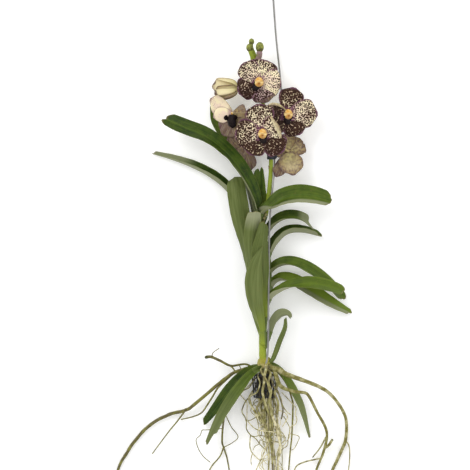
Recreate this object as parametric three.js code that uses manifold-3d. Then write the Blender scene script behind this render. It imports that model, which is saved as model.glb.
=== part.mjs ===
// A vanda orchid with bare roots, lying on its back: millimetres, +Z up, the plant's own
// upward direction along +Y. The pieces are laid out from the middle of the crown, and the
// whole plant is then moved so that its origin is the flat of the basket's rim that it lies on.
import * as THREE from 'three';
import Module from 'manifold-3d';

const wasm = await Module();
wasm.setup();

// ---------------------------------------------------------------- driving dimensions (mm)
const SEAT_GAP = 0.35; // clearance between two pieces that touch
const LEAF_EDGE = 1.0; // blade thickness at the margin
const LEAF_KEEL = 1.9; // blade thickness at the midrib
const SHEATH_EXTRA = 0.6; // how much thicker a sheath is than its blade
const LEAF_COLUMNS = [-1, -0.5, 0, 0.5, 1]; // across a blade, midrib in the middle
const LEAF_STEPS = 7; // along a blade
const SHEATH_COLUMNS = [-1, 0, 1];
const SHEATH_STEPS = 1;
const TEPAL_COLUMNS = [-1, -0.36, 0.36, 1];
const TEPAL_STATIONS = [0, 0.28, 0.56, 0.82, 1];
const TEPAL_THICK = 1.2;
const TEPAL_START = 2.5; // how far from the bloom's middle a tepal starts
const BLOOM_HUB = 4.2; // radius of the small disc that sepals and petals grow from
const BLOOM_HUB_TOP = 1; // how far the disc stands in front of the bloom's middle
const PEDICEL_RADIUS = 1.7;
const ROOT_SIDES = 5;

const BASKET_RIM_RADIUS = 28;
const BASKET_END_RADIUS = 22;
const BASKET_DEPTH = 48;
const BASKET_WALL = 1.8;
const BASKET_LIP = 5; // height of the band round the rim
const BASKET_STEP = 2; // how far the band stands out from the wall
const BASKET_SLOTS = 8;
const BASKET_SIDES = 16;
const BASKET_RIM_Y = -22;
const BASKET_X = -5;
const BASKET_AXIS_Z = BASKET_RIM_RADIUS * Math.cos(Math.PI / BASKET_SIDES);

const WIRE_RADIUS = 1.3;
const CROWN = { x: -1, y: -8, z: 30, rx: 13, ry: 20, rz: 13 };

// ---------------------------------------------------------------- colours
function finish(color, roughness, metalness = 0) {
  return new THREE.MeshStandardMaterial({ color, roughness, metalness });
}

const FINISH = {
  leaf: () => finish(0x4a6a28, 0.42),
  stem: () => finish(0x8f9a3a, 0.5),
  spike: () => finish(0x8ea04a, 0.5),
  petal: () => finish(0xb9a184, 0.55),
  column: () => finish(0xd8ae55, 0.5),
  root: () => finish(0x8c8a60, 0.8),
  basket: () => finish(0x15161a, 0.45),
  clip: () => finish(0x17181c, 0.4),
  wire: () => finish(0xa7aaad, 0.3, 0.9),
};

// ---------------------------------------------------------------- small maths
const DEG = Math.PI / 180;
const UP = new THREE.Vector3(0, 0, 1);
const SIDEWAYS = new THREE.Vector3(1, 0, 0);
const mix = (a, b, t) => a + (b - a) * t;

/** Point of a smooth curve through rows of numbers, at t from 0 to 1. */
function rowAt(rows, t) {
  const spans = rows.length - 1;
  const place = Math.min(Math.max(t, 0), 1) * spans;
  const i = Math.min(Math.floor(place), spans - 1);
  const u = place - i;
  const row = (k) => {
    if (k < 0) return rows[0].map((value, n) => 2 * value - rows[1][n]);
    if (k > spans) return rows[spans].map((value, n) => 2 * value - rows[spans - 1][n]);
    return rows[k];
  };
  const [a, b, c, d] = [row(i - 1), row(i), row(i + 1), row(i + 2)];
  return b.map((value, n) => 0.5 * (2 * value + (c[n] - a[n]) * u
    + (2 * a[n] - 5 * value + 4 * c[n] - d[n]) * u * u
    + (3 * value - a[n] - 3 * c[n] + d[n]) * u * u * u));
}

const pointAt = (rows, t) => new THREE.Vector3(...rowAt(rows, t).slice(0, 3));

function directionAt(rows, t) {
  const step = 0.004;
  const ahead = pointAt(rows, Math.min(t + step, 1));
  const behind = pointAt(rows, Math.max(t - step, 0));
  return ahead.sub(behind).normalize();
}

// ---------------------------------------------------------------- solids from point grids
function geometryOf(points, triangles) {
  const geometry = new THREE.BufferGeometry();
  const numbers = points.flatMap((p) => [p.x, p.y, p.z]);
  geometry.setAttribute('position', new THREE.Float32BufferAttribute(numbers, 3));
  geometry.setIndex(triangles);
  return geometry;
}

/** A blade: two grids of points, top and bottom, split into triangles alike and walled round. */
function slab(top, bottom) {
  const rows = top.length;
  const columns = top[0].length;
  const points = [...top.flat(), ...bottom.flat()];
  const upper = (i, j) => i * columns + j;
  const lower = (i, j) => rows * columns + upper(i, j);
  const triangles = [];
  const quad = (a, b, c, d) => triangles.push(a, b, c, a, c, d);
  for (let i = 0; i + 1 < rows; i++) {
    for (let j = 0; j + 1 < columns; j++) {
      quad(upper(i, j), upper(i, j + 1), upper(i + 1, j + 1), upper(i + 1, j));
      triangles.push(lower(i, j), lower(i + 1, j + 1), lower(i, j + 1));
      triangles.push(lower(i, j), lower(i + 1, j), lower(i + 1, j + 1));
    }
    quad(upper(i, 0), upper(i + 1, 0), lower(i + 1, 0), lower(i, 0));
    const last = columns - 1;
    quad(upper(i + 1, last), upper(i, last), lower(i, last), lower(i + 1, last));
  }
  for (let j = 0; j + 1 < columns; j++) {
    quad(upper(0, j + 1), upper(0, j), lower(0, j), lower(0, j + 1));
    quad(upper(rows - 1, j), upper(rows - 1, j + 1), lower(rows - 1, j + 1), lower(rows - 1, j));
  }
  return geometryOf(points, triangles);
}

/** A round limb along a curve, thinning from one radius to another, with domed ends. */
function limb(rows, radii, { sides = ROOT_SIDES, steps = 12, knob = 0, domes = [0.7, 0.7] } = {}) {
  const points = [];
  const triangles = [];
  const radiusRows = radii.map((value) => [value]);
  let across = null;
  for (let i = 0; i <= steps; i++) {
    const t = i / steps;
    const along = directionAt(rows, t);
    across = across ?? new THREE.Vector3().crossVectors(along, Math.abs(along.z) < 0.9 ? UP : SIDEWAYS);
    across.addScaledVector(along, -across.dot(along)).normalize();
    const other = new THREE.Vector3().crossVectors(along, across);
    const radius = rowAt(radiusRows, t)[0] * (1 + knob * Math.sin(i * 2.4));
    for (let k = 0; k < sides; k++) {
      const turn = (k / sides) * 2 * Math.PI;
      points.push(pointAt(rows, t)
        .addScaledVector(across, radius * Math.cos(turn))
        .addScaledVector(other, radius * Math.sin(turn)));
    }
  }
  for (let i = 0; i < steps; i++) {
    for (let k = 0; k < sides; k++) {
      const [a, b] = [i * sides + k, i * sides + ((k + 1) % sides)];
      triangles.push(a, b, b + sides, a, b + sides, a + sides);
    }
  }
  const endCap = (t, ring, flip) => {
    const dome = (flip ? -domes[0] * radii[0] : domes[1] * radii[radii.length - 1]);
    const tip = points.push(pointAt(rows, t).addScaledVector(directionAt(rows, t), dome)) - 1;
    for (let k = 0; k < sides; k++) {
      const [a, b] = [ring + k, ring + ((k + 1) % sides)];
      triangles.push(...(flip ? [b, a, tip] : [a, b, tip]));
    }
  };
  endCap(0, 0, true);
  endCap(1, steps * sides, false);
  return geometryOf(points, triangles);
}

// ---------------------------------------------------------------- joins and cuts
function solidOf(geometry) {
  const vertProperties = new Float32Array(geometry.attributes.position.array);
  const triVerts = new Uint32Array(geometry.index.array);
  return new wasm.Manifold(new wasm.Mesh({ numProp: 3, vertProperties, triVerts }));
}

function geometryFrom(solid) {
  const mesh = solid.getMesh();
  const geometry = new THREE.BufferGeometry();
  geometry.setAttribute('position', new THREE.BufferAttribute(new Float32Array(mesh.vertProperties), 3));
  geometry.setIndex([...mesh.triVerts]);
  return geometry;
}

const joined = (geometries) => geometries.map(solidOf).reduce((sum, next) => sum.add(next));

/** The largest loose piece of a solid, so that a cut leaves no scrap. */
function mainPiece(solid) {
  const pieces = solid.decompose();
  return pieces.reduce((best, piece) => (piece.volume() > best.volume() ? piece : best));
}

/** An ellipsoid as a closed mesh with shared vertices. */
function ellipsoid(centre, radii, sides = 12, rings = 7) {
  const points = [new THREE.Vector3(0, 1, 0)];
  const triangles = [];
  for (let i = 1; i < rings; i++) {
    const polar = (i / rings) * Math.PI;
    for (let k = 0; k < sides; k++) {
      const turn = (k / sides) * 2 * Math.PI;
      const ring = Math.sin(polar);
      points.push(new THREE.Vector3(ring * Math.sin(turn), Math.cos(polar), ring * Math.cos(turn)));
    }
  }
  const end = points.push(new THREE.Vector3(0, -1, 0)) - 1;
  for (let k = 0; k < sides; k++) {
    const next = (k + 1) % sides;
    triangles.push(0, 1 + k, 1 + next);
    for (let i = 0; i + 2 < rings; i++) {
      const [a, b] = [1 + i * sides + k, 1 + i * sides + next];
      triangles.push(a, a + sides, b + sides, a, b + sides, b);
    }
    const last = 1 + (rings - 2) * sides;
    triangles.push(last + k, end, last + next);
  }
  const placed = points.map((p) => new THREE.Vector3(
    centre[0] + p.x * radii[0],
    centre[1] + p.y * radii[1],
    centre[2] + p.z * radii[2],
  ));
  return geometryOf(placed, triangles);
}

// ---------------------------------------------------------------- the plant
const plant = new THREE.Group();

function place(name, geometry, material) {
  const mesh = new THREE.Mesh(geometry, material);
  mesh.name = name;
  geometry.computeVertexNormals();
  plant.add(mesh);
  return mesh;
}

// ---------------------------------------------------------------- leaves
// A leaf's rows are x, y, z of its keel and the blade's roll about it in degrees. The first
// row is inside the stem and the second is the joint between sheath and blade. Roll 0 has
// the upper face towards +Z, and a positive roll turns it to the right of the way it grows.
// fold is the angle of each half above flat, at the base and at the tip. lobes is how far,
// as a share of the length, each half of the notched tip ends short of the longest point.
const LEAVES = [
  { name: 'leaf_left_long', width: 42, fold: [55, 12], lobes: [0, 0.03], notch: 0.03,
    path: [[-22, 262, 42, 85], [-29, 306, 50, 74], [-40, 346, 56, 60], [-56, 386, 61, 52],
      [-80, 421, 65, 44], [-120, 450, 66, 30], [-164, 470, 62, 24], [-208, 489, 54, 18]] },
  { name: 'leaf_left_narrow', width: 38, fold: [58, 36], lobes: [0, 0.03], notch: 0,
    path: [[-16, 206, 34, 88], [-34, 256, 28, 84], [-56, 310, 22, 78], [-80, 346, 20, 70],
      [-114, 374, 22, 68], [-154, 395, 22, 66], [-194, 410, 15, 60], [-232, 422, 1.55, 46]] },
  { name: 'leaf_left_broad', width: 40, fold: [60, 8], lobes: [0, 0.02], notch: 0,
    path: [[-17, 56, 33, 95], [-30, 112, 35, 100], [-35, 176, 42, 134], [-38, 236, 48, 158],
      [-52, 294, 50, 168], [-60, 334, 50, 173], [-63, 360, 44, 175], [-65, 372, 28, 175]] },
  { name: 'leaf_left_behind', width: 30, fold: [55, 14], lobes: [0.02, 0], notch: 0.01,
    path: [[-18, 236, 34, 85], [-28, 300, 24, 78], [-44, 362, 13, 60], [-72, 428, 10, 50],
      [-97, 482, 10, 40], [-94, 530, 2.1, 24]] },
  { name: 'leaf_left_young', width: 30, fold: [50, 24], lobes: [0, 0.05], notch: 0.03,
    path: [[-16, 272, 39, 60], [-14.5, 314, 35.5, 50], [-16, 352, 37, 42], [-17, 394, 38, 34]] },
  { name: 'leaf_front_curled', width: 36, fold: [60, 14], lobes: [0, 0.02], notch: 0,
    path: [[-12, 90, 46, 120], [-18, 148, 62, 150], [-29, 210, 66, 170], [-32, 256, 68, 178],
      [-32, 284, 70, 182], [-30, 304, 77, 184]] },
  { name: 'leaf_front_slender', width: 32, fold: [60, 16], lobes: [0.02, 0], notch: 0,
    path: [[-10, 36, 44, 110], [-19, 90, 58, 140], [-27, 146, 74, 160], [-26, 190, 82, 178],
      [-18, 226, 83, 195], [-11, 254, 79, 200], [-6, 284, 72, 200]] },
  { name: 'leaf_right_bright', width: 42, fold: [58, 10], lobes: [0.01, 0], notch: 0,
    path: [[-12, 272, 44, -90], [-8, 308, 56, -62], [12, 322, 61, -40], [34, 333, 63, -26],
      [62, 337, 60, -18], [96, 335, 55, -15], [131, 326, 46, -12]] },
  { name: 'leaf_right_second', width: 34, fold: [60, 24], lobes: [0.1, 0], notch: 0,
    path: [[-8, 238, 40, -90], [6, 270, 42, -76], [28, 289, 43, -62], [52, 294, 42, -56],
      [74, 288, 36, -58], [94, 268, 24, -62]] },
  { name: 'leaf_right_third', width: 36, fold: [60, 42], lobes: [0, 0.05], notch: 0,
    path: [[-7, 188, 38, -90], [6, 222, 36, -86], [20, 243, 34, -82], [42, 260, 33, -77],
      [72, 263, 31, -76], [112, 254, 18, -80]] },
  { name: 'leaf_right_fourth', width: 38, fold: [60, 18], lobes: [0, 0.03], notch: 0.015,
    path: [[-6, 134, 38, -90], [4, 174, 40, -74], [20, 192, 41, -62], [44, 198, 41, -56],
      [74, 190, 38, -52], [104, 172, 32, -50], [132, 149, 24, -50], [158, 124, 12, -45]] },
  { name: 'leaf_right_fifth', width: 36, fold: [60, 14], lobes: [0, 0.02], notch: 0.02,
    path: [[-5, 92, 44, -90], [7, 128, 52, -84], [28, 145, 60, -74], [52, 154, 64, -60],
      [86, 158, 64, -44], [122, 153, 58, -40], [158, 142, 46, -36]] },
  { name: 'leaf_right_low', width: 34, fold: [60, 18], lobes: [0, 0.03], notch: 0,
    path: [[-6, 112, 34, -90], [10, 152, 28.5, -80], [26, 166, 33, -66], [48, 166, 34, -56],
      [76, 151, 34, -50], [108, 133, 30, -50], [140, 115, 20, -52], [174, 98, 2.85, -50]] },
  { name: 'leaf_right_curled', width: 22, fold: [60, 20], lobes: [0, 0.03], notch: 0,
    path: [[-3, 32, 38, -100], [8, 62, 43, -125], [16, 86, 47, -145], [29, 98, 49, -145],
      [42, 97, 47, -138], [49, 88, 42, -130]] },
  { name: 'leaf_right_small', width: 15, fold: [60, 30], lobes: [0, 0.03], notch: 0,
    path: [[3, -4, 36, -95], [16, 12, 38, -110], [28, 42, 42, -120], [38, 70, 44, -120],
      [37, 92, 40, -120]] },
  { name: 'leaf_low_left_back', width: 28, fold: [50, 14], lobes: [0, 0.03], notch: 0,
    path: [[-12, 2, 34, 30], [-28, -4, 38, 32], [-48, -24, 40, 32], [-76, -56, 36, 30],
      [-102, -90, 26, 26], [-128, -121, 12, 22]] },
  { name: 'leaf_low_left_front', width: 27, fold: [55, 18], lobes: [0, 0.08], notch: 0,
    path: [[-4, -4, 36, 20], [-26, -17, 56, 24], [-47, -42, 60, 26], [-72, -76, 57, 26],
      [-96, -115, 46, 24], [-120, -164, 26, 20]] },
  { name: 'leaf_low_right', width: 24, fold: [50, 22], lobes: [0, 0.03], notch: 0,
    path: [[4, 0, 34, -40], [22, -14, 34, -40], [40, -38, 31, -40], [55, -64, 28, -42],
      [70, -95, 23, -44], [86, -153, 7, -46]] },
];

/** Share of the full width at t along a strap leaf. */
function leafWidth(t) {
  const swell = 0.45 + 0.55 * Math.sin((Math.PI / 2) * Math.min(1, t / 0.55));
  return swell * (1 - 0.36 * Math.max(0, (t - 0.55) / 0.45) ** 2.2);
}

/** How far a column stops short of the tip: rounded margins and a notch at the midrib. */
function tipCut(leaf, q) {
  const lobe = q < 0 ? leaf.lobes[0] : leaf.lobes[1];
  if (q === 0) return Math.min(...leaf.lobes) + leaf.notch;
  return lobe + (Math.abs(q) === 1 ? 0.05 : 0.008);
}

function leafPoint(leaf, t, q, lowerFace, extra = 0) {
  const roll = rowAt(leaf.path, t)[3] * DEG;
  const along = directionAt(leaf.path, t);
  const flatSide = new THREE.Vector3().crossVectors(along, UP).normalize();
  const flatFace = new THREE.Vector3().crossVectors(flatSide, along);
  const face = flatFace.clone().multiplyScalar(Math.cos(roll)).addScaledVector(flatSide, Math.sin(roll));
  const side = flatSide.clone().multiplyScalar(Math.cos(roll)).addScaledVector(flatFace, -Math.sin(roll));
  const fold = mix(leaf.fold[1], leaf.fold[0], (1 - t) ** 1.5) * DEG;
  const reach = (leaf.width / 2) * leafWidth(t) * Math.abs(q);
  const hand = Math.sign(q);
  const point = pointAt(leaf.path, t)
    .addScaledVector(side, hand * reach * Math.cos(fold))
    .addScaledVector(face, reach * Math.sin(fold));
  if (!lowerFace) return point;
  const thick = mix(LEAF_KEEL, LEAF_EDGE, Math.abs(q)) + extra;
  const inward = hand === 0 ? 1 / Math.max(Math.cos(fold), 0.6) : 1;
  const normal = face.clone()
    .multiplyScalar(hand === 0 ? 1 : Math.cos(fold))
    .addScaledVector(side, -hand * Math.sin(fold));
  return point.addScaledVector(normal, -thick * inward);
}

function leafSlab(leaf, from, to, steps, columns = LEAF_COLUMNS, extra = 0) {
  const grid = (lowerFace) => Array.from({ length: steps + 1 }, (_, i) => columns.map((q) => {
    const end = to === 1 ? 1 - tipCut(leaf, q) : to;
    return leafPoint(leaf, mix(from, end, i / steps), q, lowerFace, extra);
  }));
  return slab(grid(false), grid(true));
}

const jointOf = (leaf) => 1 / (leaf.path.length - 1);

function lengthOf(rows) {
  let total = 0;
  for (let i = 1; i <= 60; i++) total += pointAt(rows, i / 60).distanceTo(pointAt(rows, (i - 1) / 60));
  return total;
}

function buildLeaves() {
  for (const leaf of LEAVES) {
    const start = jointOf(leaf) + SEAT_GAP / lengthOf(leaf.path);
    place(leaf.name, leafSlab(leaf, start, 1, LEAF_STEPS), FINISH.leaf());
  }
}

// ---------------------------------------------------------------- stem
const STEM_PATH = [[-3, -14, 30], [-8, 12, 32], [-9, 66, 36], [-10, 126, 38], [-11, 186, 40], [-12, 246, 42],
  [-14, 284, 43]];
const STEM_RADII = [8, 7, 6.6, 6.2, 6, 5.6, 4.5];
const OLD_STALK_PATH = [[-10, 276, 48], [-6, 288, 54], [-2, 297, 58]];
const AXIL_PATH = [[-10, 258, 38], [-8.5, 276, 39.6], [-3.15, 293.1, 39.95]];

function crownShape(grow) {
  const { x, y, z, rx, ry, rz } = CROWN;
  return ellipsoid([x, y, z], [rx + grow, ry + grow, rz + grow], 10, 6);
}

function buildStem() {
  const pieces = [
    limb(STEM_PATH, STEM_RADII, { sides: 7, steps: 7 }),
    limb(AXIL_PATH, [4, 4, 4.6], { sides: 8, steps: 3, domes: [0.7, 0] }),
    limb(OLD_STALK_PATH, [2.6, 2.4, 2.6], { sides: 6, steps: 2 }),
    crownShape(0),
    ...LEAVES.map((leaf) => leafSlab(leaf, 0, jointOf(leaf), SHEATH_STEPS, SHEATH_COLUMNS, SHEATH_EXTRA)),
  ];
  place('stem', geometryFrom(joined(pieces)), FINISH.stem());
}

// ---------------------------------------------------------------- flower stalk
const STALK_PATH = [[-3, 294, 40], [0, 312, 41], [5, 350, 42], [8, 400, 44], [4, 460, 48], [-8, 520, 52],
  [-20, 580, 54], [-27, 614, 54]];
const STALK_RADII = [4.6, 4.6, 4.4, 4.2, 3.8, 3.4, 3, 2.6];
const BUDS = [
  { stalk: [[-27, 612, 54], [-30, 632, 56], [-31, 640, 56]], centre: [-30.5, 645, 56], radii: [5, 6.5, 5] },
  { stalk: [[-27, 606, 54], [-33, 622, 50], [-35, 628, 50]], centre: [-35, 632, 50], radii: [6, 7, 6] },
  { stalk: [[-26, 600, 54], [-15, 616, 58], [-14, 626, 60]], centre: [-13.5, 634, 60], radii: [7.5, 8.5, 7.5] },
];

function buildStalk() {
  const pieces = [limb(STALK_PATH, STALK_RADII, { sides: 7, steps: 12, domes: [0, 0.7] })];
  for (const bud of BUDS) {
    pieces.push(limb(bud.stalk, [2.4, 2.2, 2.6], { sides: 5, steps: 3 }));
    pieces.push(ellipsoid(bud.centre, bud.radii, 7, 5));
  }
  place('flower_stalk', geometryFrom(joined(pieces)), FINISH.spike());
}

function stalkClearance() {
  const wider = STALK_RADII.map((radius) => radius + SEAT_GAP);
  return solidOf(limb(STALK_PATH, wider, { sides: 7, steps: 12 }));
}

// ---------------------------------------------------------------- blooms
// A tepal is a sepal or petal: angle round the bloom in degrees (90 is up), length, width,
// lift of its end towards the front as a share of its length, and twist about its length.
const SPREAD = {
  dorsal: { angle: 90, length: 46, width: 34, lift: 0.1, twist: 0 },
  petalLeft: { angle: 158, length: 47, width: 40, lift: 0.16, twist: 10 },
  petalRight: { angle: 22, length: 47, width: 40, lift: 0.16, twist: -10 },
  sepalLeft: { angle: 232, length: 44, width: 35, lift: 0.05, twist: 0 },
  sepalRight: { angle: 308, length: 44, width: 35, lift: 0.05, twist: 0 },
};

// centre is the middle of the bloom, facing its front, join the point on the flower stalk.
const BLOOMS = [
  { name: 'bloom_top', centre: [-15, 561, 76], facing: [0, -0.12, 1],
    lipAngle: -120, join: [-15, 556, 53],
    tepals: {
      dorsal: { angle: 72, length: 48, width: 42 },
      petalLeft: { angle: 134, length: 51, width: 44 },
      petalRight: { angle: -6, length: 45, width: 48 },
      sepalLeft: { angle: 216, length: 46, width: 34 },
      sepalRight: { angle: 298, length: 44, width: 40 },
    } },
  { name: 'bloom_front', centre: [-9, 458, 88], facing: [-0.02, -0.15, 1],
    lipAngle: -85, join: [4, 452, 48],
    tepals: {
      dorsal: { angle: 94, length: 60, width: 42 },
      petalLeft: { angle: 181, length: 54, width: 54 },
      petalRight: { angle: -12, length: 44, width: 40, lift: 0.1, twist: -35 },
      sepalLeft: { angle: 238, length: 48, width: 36 },
      sepalRight: { angle: 320, length: 54, width: 38 },
    } },
  { name: 'bloom_right', centre: [42, 500, 66], facing: [0.25, -0.1, 0.95],
    lipAngle: -95, join: [-2, 482, 50],
    tepals: {
      dorsal: { angle: 72, length: 54, width: 44 },
      petalLeft: { angle: 158, length: 36, width: 30, lift: 0.3, twist: 50 },
      petalRight: { angle: 2, length: 58, width: 54 },
      sepalLeft: { angle: 206, length: 36, width: 40 },
      sepalRight: { angle: 303, length: 50, width: 42 },
    } },
  { name: 'bloom_low_right', centre: [42, 422, 34], facing: [-0.1, -0.3, -0.9],
    lipAngle: -90, join: [7, 442, 46],
    tepals: {
      dorsal: { angle: 96, length: 38, width: 34 },
      petalLeft: { angle: 146, length: 44, width: 24 },
      petalRight: { angle: 24, length: 22, width: 30 },
      sepalLeft: { angle: 260, length: 50, width: 46, lift: 0 },
      sepalRight: { angle: 296, length: 58, width: 26, lift: 0 },
    } },
  { name: 'bloom_top_left', centre: [-60, 553, 50], facing: [-0.97, 0, -0.25],
    lipAngle: -90, join: [-12, 538, 52],
    columnSize: 0.5,
    tepals: {
      dorsal: { angle: 84, length: 20, width: 34, lift: 2.1 },
      petalLeft: { angle: 168, length: 22, width: 30, lift: 2 },
      petalRight: { angle: 14, length: 22, width: 40, lift: 2 },
      sepalLeft: { angle: 236, length: 22, width: 28, lift: 1.9 },
      sepalRight: { angle: 310, length: 22, width: 34, lift: 1.9 },
    } },
  { name: 'bloom_left', centre: [-68, 492, 58], facing: [-0.6, -0.12, 0.78],
    lipAngle: -100, join: [-4, 500, 51],
    tepals: {
      dorsal: { angle: 126, length: 50, width: 32, lift: 0.4 },
      petalLeft: { angle: 168, length: 36, width: 34, lift: 0.5 },
      petalRight: { angle: 40, length: 38, width: 34, lift: 0.1 },
      sepalLeft: { angle: 222, length: 40, width: 30 },
      sepalRight: { angle: 290, length: 40, width: 30 },
    } },
  { name: 'bloom_low_left', centre: [-50, 433, 33], facing: [-0.35, 0.12, -0.92],
    lipAngle: -90, join: [5, 446, 47],
    tepals: {
      dorsal: { angle: 88, length: 40, width: 34 },
      petalLeft: { angle: 160, length: 36, width: 34 },
      petalRight: { angle: 18, length: 45, width: 34 },
      sepalLeft: { angle: 262, length: 54, width: 34 },
      sepalRight: { angle: 318, length: 46, width: 34 },
    } },
];

/** Half the width of a tepal at t: a narrow claw, a broad blade and a rounded end. */
function tepalHalfWidth(width, t) {
  const broad = 0.62;
  if (t < broad) return (width / 2) * (0.2 + 0.8 * Math.sin((Math.PI / 2) * (t / broad)) ** 1.3);
  return (width / 2) * Math.sqrt(1 - (0.9 * ((t - broad) / (1 - broad))) ** 2);
}

function tepalSlab({ angle, length, width, lift, twist }) {
  const along = new THREE.Vector3(Math.cos(angle * DEG), Math.sin(angle * DEG), 0);
  const grid = (drop) => TEPAL_STATIONS.map((t) => {
    const turn = twist * DEG * Math.min(1, t * 1.6);
    const flatSide = new THREE.Vector3(Math.sin(angle * DEG), -Math.cos(angle * DEG), 0);
    const side = flatSide.multiplyScalar(Math.cos(turn)).addScaledVector(UP, Math.sin(turn));
    const face = new THREE.Vector3().crossVectors(side, along);
    return TEPAL_COLUMNS.map((q) => {
      const rounded = Math.abs(q) === 1 ? 0.06 * t ** 4 : 0;
      const height = length * lift * (t - rounded) ** 2 - 0.12 * width * q * q * t + (drop ? -TEPAL_THICK : 0);
      return along.clone().multiplyScalar(TEPAL_START + (length - TEPAL_START) * (t - rounded))
        .addScaledVector(side, q * tepalHalfWidth(width, t))
        .addScaledVector(face, height);
    });
  });
  return slab(grid(false), grid(true));
}

function bloomMatrix({ centre, facing }) {
  const front = new THREE.Vector3(...facing).normalize();
  const upward = new THREE.Vector3(0, 1, 0).addScaledVector(front, -front.y).normalize();
  const right = new THREE.Vector3().crossVectors(upward, front);
  return new THREE.Matrix4().makeBasis(right, upward, front).setPosition(...centre);
}

function bloomBody(bloom) {
  const matrix = bloomMatrix(bloom);
  const pieces = Object.entries(SPREAD).map(([key, usual]) => {
    return tepalSlab({ ...usual, ...bloom.tepals[key] }).applyMatrix4(matrix);
  });
  const hubHalf = 2.6;
  const hub = ellipsoid([0, 0, BLOOM_HUB_TOP - hubHalf], [BLOOM_HUB, BLOOM_HUB, hubHalf], 6, 4);
  pieces.push(hub.applyMatrix4(matrix));
  const hubBack = new THREE.Vector3(0, -1, -3).applyMatrix4(matrix);
  const bendBack = new THREE.Vector3(0, -4, -14).applyMatrix4(matrix);
  const join = new THREE.Vector3(...bloom.join);
  const bend = bendBack.lerp(join, 0.35);
  const stalk = [hubBack, bend, join].map((p) => p.toArray());
  pieces.push(limb(stalk, [PEDICEL_RADIUS * 1.2, PEDICEL_RADIUS, PEDICEL_RADIUS], { sides: 5, steps: 4 }));
  return mainPiece(joined(pieces).subtract(stalkClearance()));
}

/** The column with its cap, and the lip below it: one body in front of the hub. */
function bloomColumn(bloom) {
  const front = BLOOM_HUB_TOP + SEAT_GAP;
  const size = bloom.columnSize ?? 1;
  const column = ellipsoid([0, size, front + 6 * size], [7.5 * size, 9 * size, 6 * size], 8, 4);
  const lipTurn = (bloom.lipAngle ?? -90) * DEG;
  const lipRows = [2, 10, 17].map((reach, i) => [
    reach * size * Math.cos(lipTurn),
    reach * size * Math.sin(lipTurn),
    front + (5 + i) * size,
  ]);
  const lip = limb(lipRows, [4.4 * size, 5.6 * size, 3.4 * size], { sides: 5, steps: 3 });
  return joined([column, lip].map((shape) => shape.applyMatrix4(bloomMatrix(bloom))));
}

function buildBlooms() {
  for (const bloom of BLOOMS) {
    place(bloom.name, geometryFrom(bloomBody(bloom)), FINISH.petal());
    place(`${bloom.name}_column`, geometryFrom(bloomColumn(bloom)), FINISH.column());
  }
}

// ---------------------------------------------------------------- roots
// Each thick root is a path from inside the crown to its tip, with its branches.
const ROOTS = [
  { name: 'root_left_long', radii: [3.6, 3.6, 3.6, 3.4, 3.2, 2.4], steps: 20,
    path: [[-6, -6, 26], [-34, -10, 24], [-66, -20, 26], [-94, -40, 24], [-148, -86, 16], [-165, -96, 12],
      [-198, -105, 8], [-234, -125, 8], [-264, -156, 6], [-284, -186, 5], [-298, -213, 5], [-306, -262, 5]],
    branches: [
      { radii: [1.6, 1.4, 1], steps: 7,
        path: [[-94, -40, 24], [-115, -76, 20], [-135, -104, 14], [-168, -115, 9]] },
      { radii: [1.6, 1.4, 1], steps: 7,
        path: [[-165, -98, 12], [-180, -118, 8], [-198, -140, 5], [-230, -183, 4]] },
    ] },
  { name: 'root_left_stub', radii: [2.4, 2.6, 3, 3.2], steps: 10,
    path: [[-4, -2, 24], [-24, 2, 18], [-44, 1, 18], [-72, -6, 20], [-94, 4, 24], [-112, 12, 27],
      [-122, 11, 28]],
    branches: [
      { radii: [1, 0.8], steps: 4, path: [[-110, 12, 27], [-108, 20, 28], [-96, 29, 28]] },
    ] },
  { name: 'root_right_long', radii: [3.6, 3.6, 3.4, 3.4, 3.2, 2.4], steps: 20,
    path: [[3, -7, 38], [9, -9, 51], [24, -14, 54], [38, -22, 50], [70, -34, 42], [105, -48, 32],
      [126, -62, 28], [146, -86, 20], [157, -108, 14], [160, -132, 10], [158, -154, 8], [152, -172, 6],
      [140, -198, 5], [132, -216, 5], [118, -262, 5]],
    branches: [
      { radii: [1.4, 1.2, 0.9], steps: 6,
        path: [[158, -154, 8], [166, -174, 6], [164, -214, 4], [156, -240, 4]] },
    ] },
  { name: 'root_right_inner', radii: [3, 3.2, 3, 3, 2.6, 2], steps: 20,
    path: [[9, -14, 34], [15, -18, 55], [19, -28, 60], [24, -42, 57], [35, -51, 51], [54, -57, 46],
      [76, -60, 42], [86, -70, 38], [101, -100, 30], [117, -129, 22], [120, -152, 16], [112, -184, 10],
      [100, -214, 6], [88, -262, 5]],
    branches: [
      { radii: [2.6, 2.6], steps: 3, path: [[119, -170, 13], [125, -164, 15], [131, -155, 16]] },
      { radii: [1.6, 1.2], steps: 5, path: [[118, -150, 17], [106, -172, 12], [92, -190, 8]] },
      { radii: [1.6, 1.2], steps: 6, path: [[108, -192, 9], [75, -200, 6], [58, -210, 5], [52, -234, 4]] },
    ] },
  { name: 'root_right_straight', radii: [1.8, 1.8, 1.8, 1.6, 1.2], steps: 12,
    path: [[2, -12, 22], [20, -18, 12], [40, -44, 10], [51, -76, 12], [52, -96, 14], [50, -146, 14],
      [47, -176, 10], [44, -214, 6], [42, -260, 4]],
    branches: [] },
  { name: 'root_left_inner', radii: [2, 2, 2, 1.6, 1.2], steps: 12,
    path: [[-6, -10, 20], [-20, -14, 10], [-46, -32, 8], [-70, -70, 10], [-84, -100, 12], [-90, -154, 10],
      [-86, -172, 8], [-80, -192, 6], [-76, -214, 5], [-70, -256, 4]],
    branches: [
      { radii: [1.6, 1.4, 1], steps: 5,
        path: [[-87, -170, 8], [-94, -188, 6], [-114, -214, 4], [-122, -250, 4]] },
      { radii: [1, 0.9], steps: 5,
        path: [[-84, -102, 14], [-72, -128, 12], [-58, -148, 10], [-68, -160, 8], [-86, -170, 8]] },
    ] },
];

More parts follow.
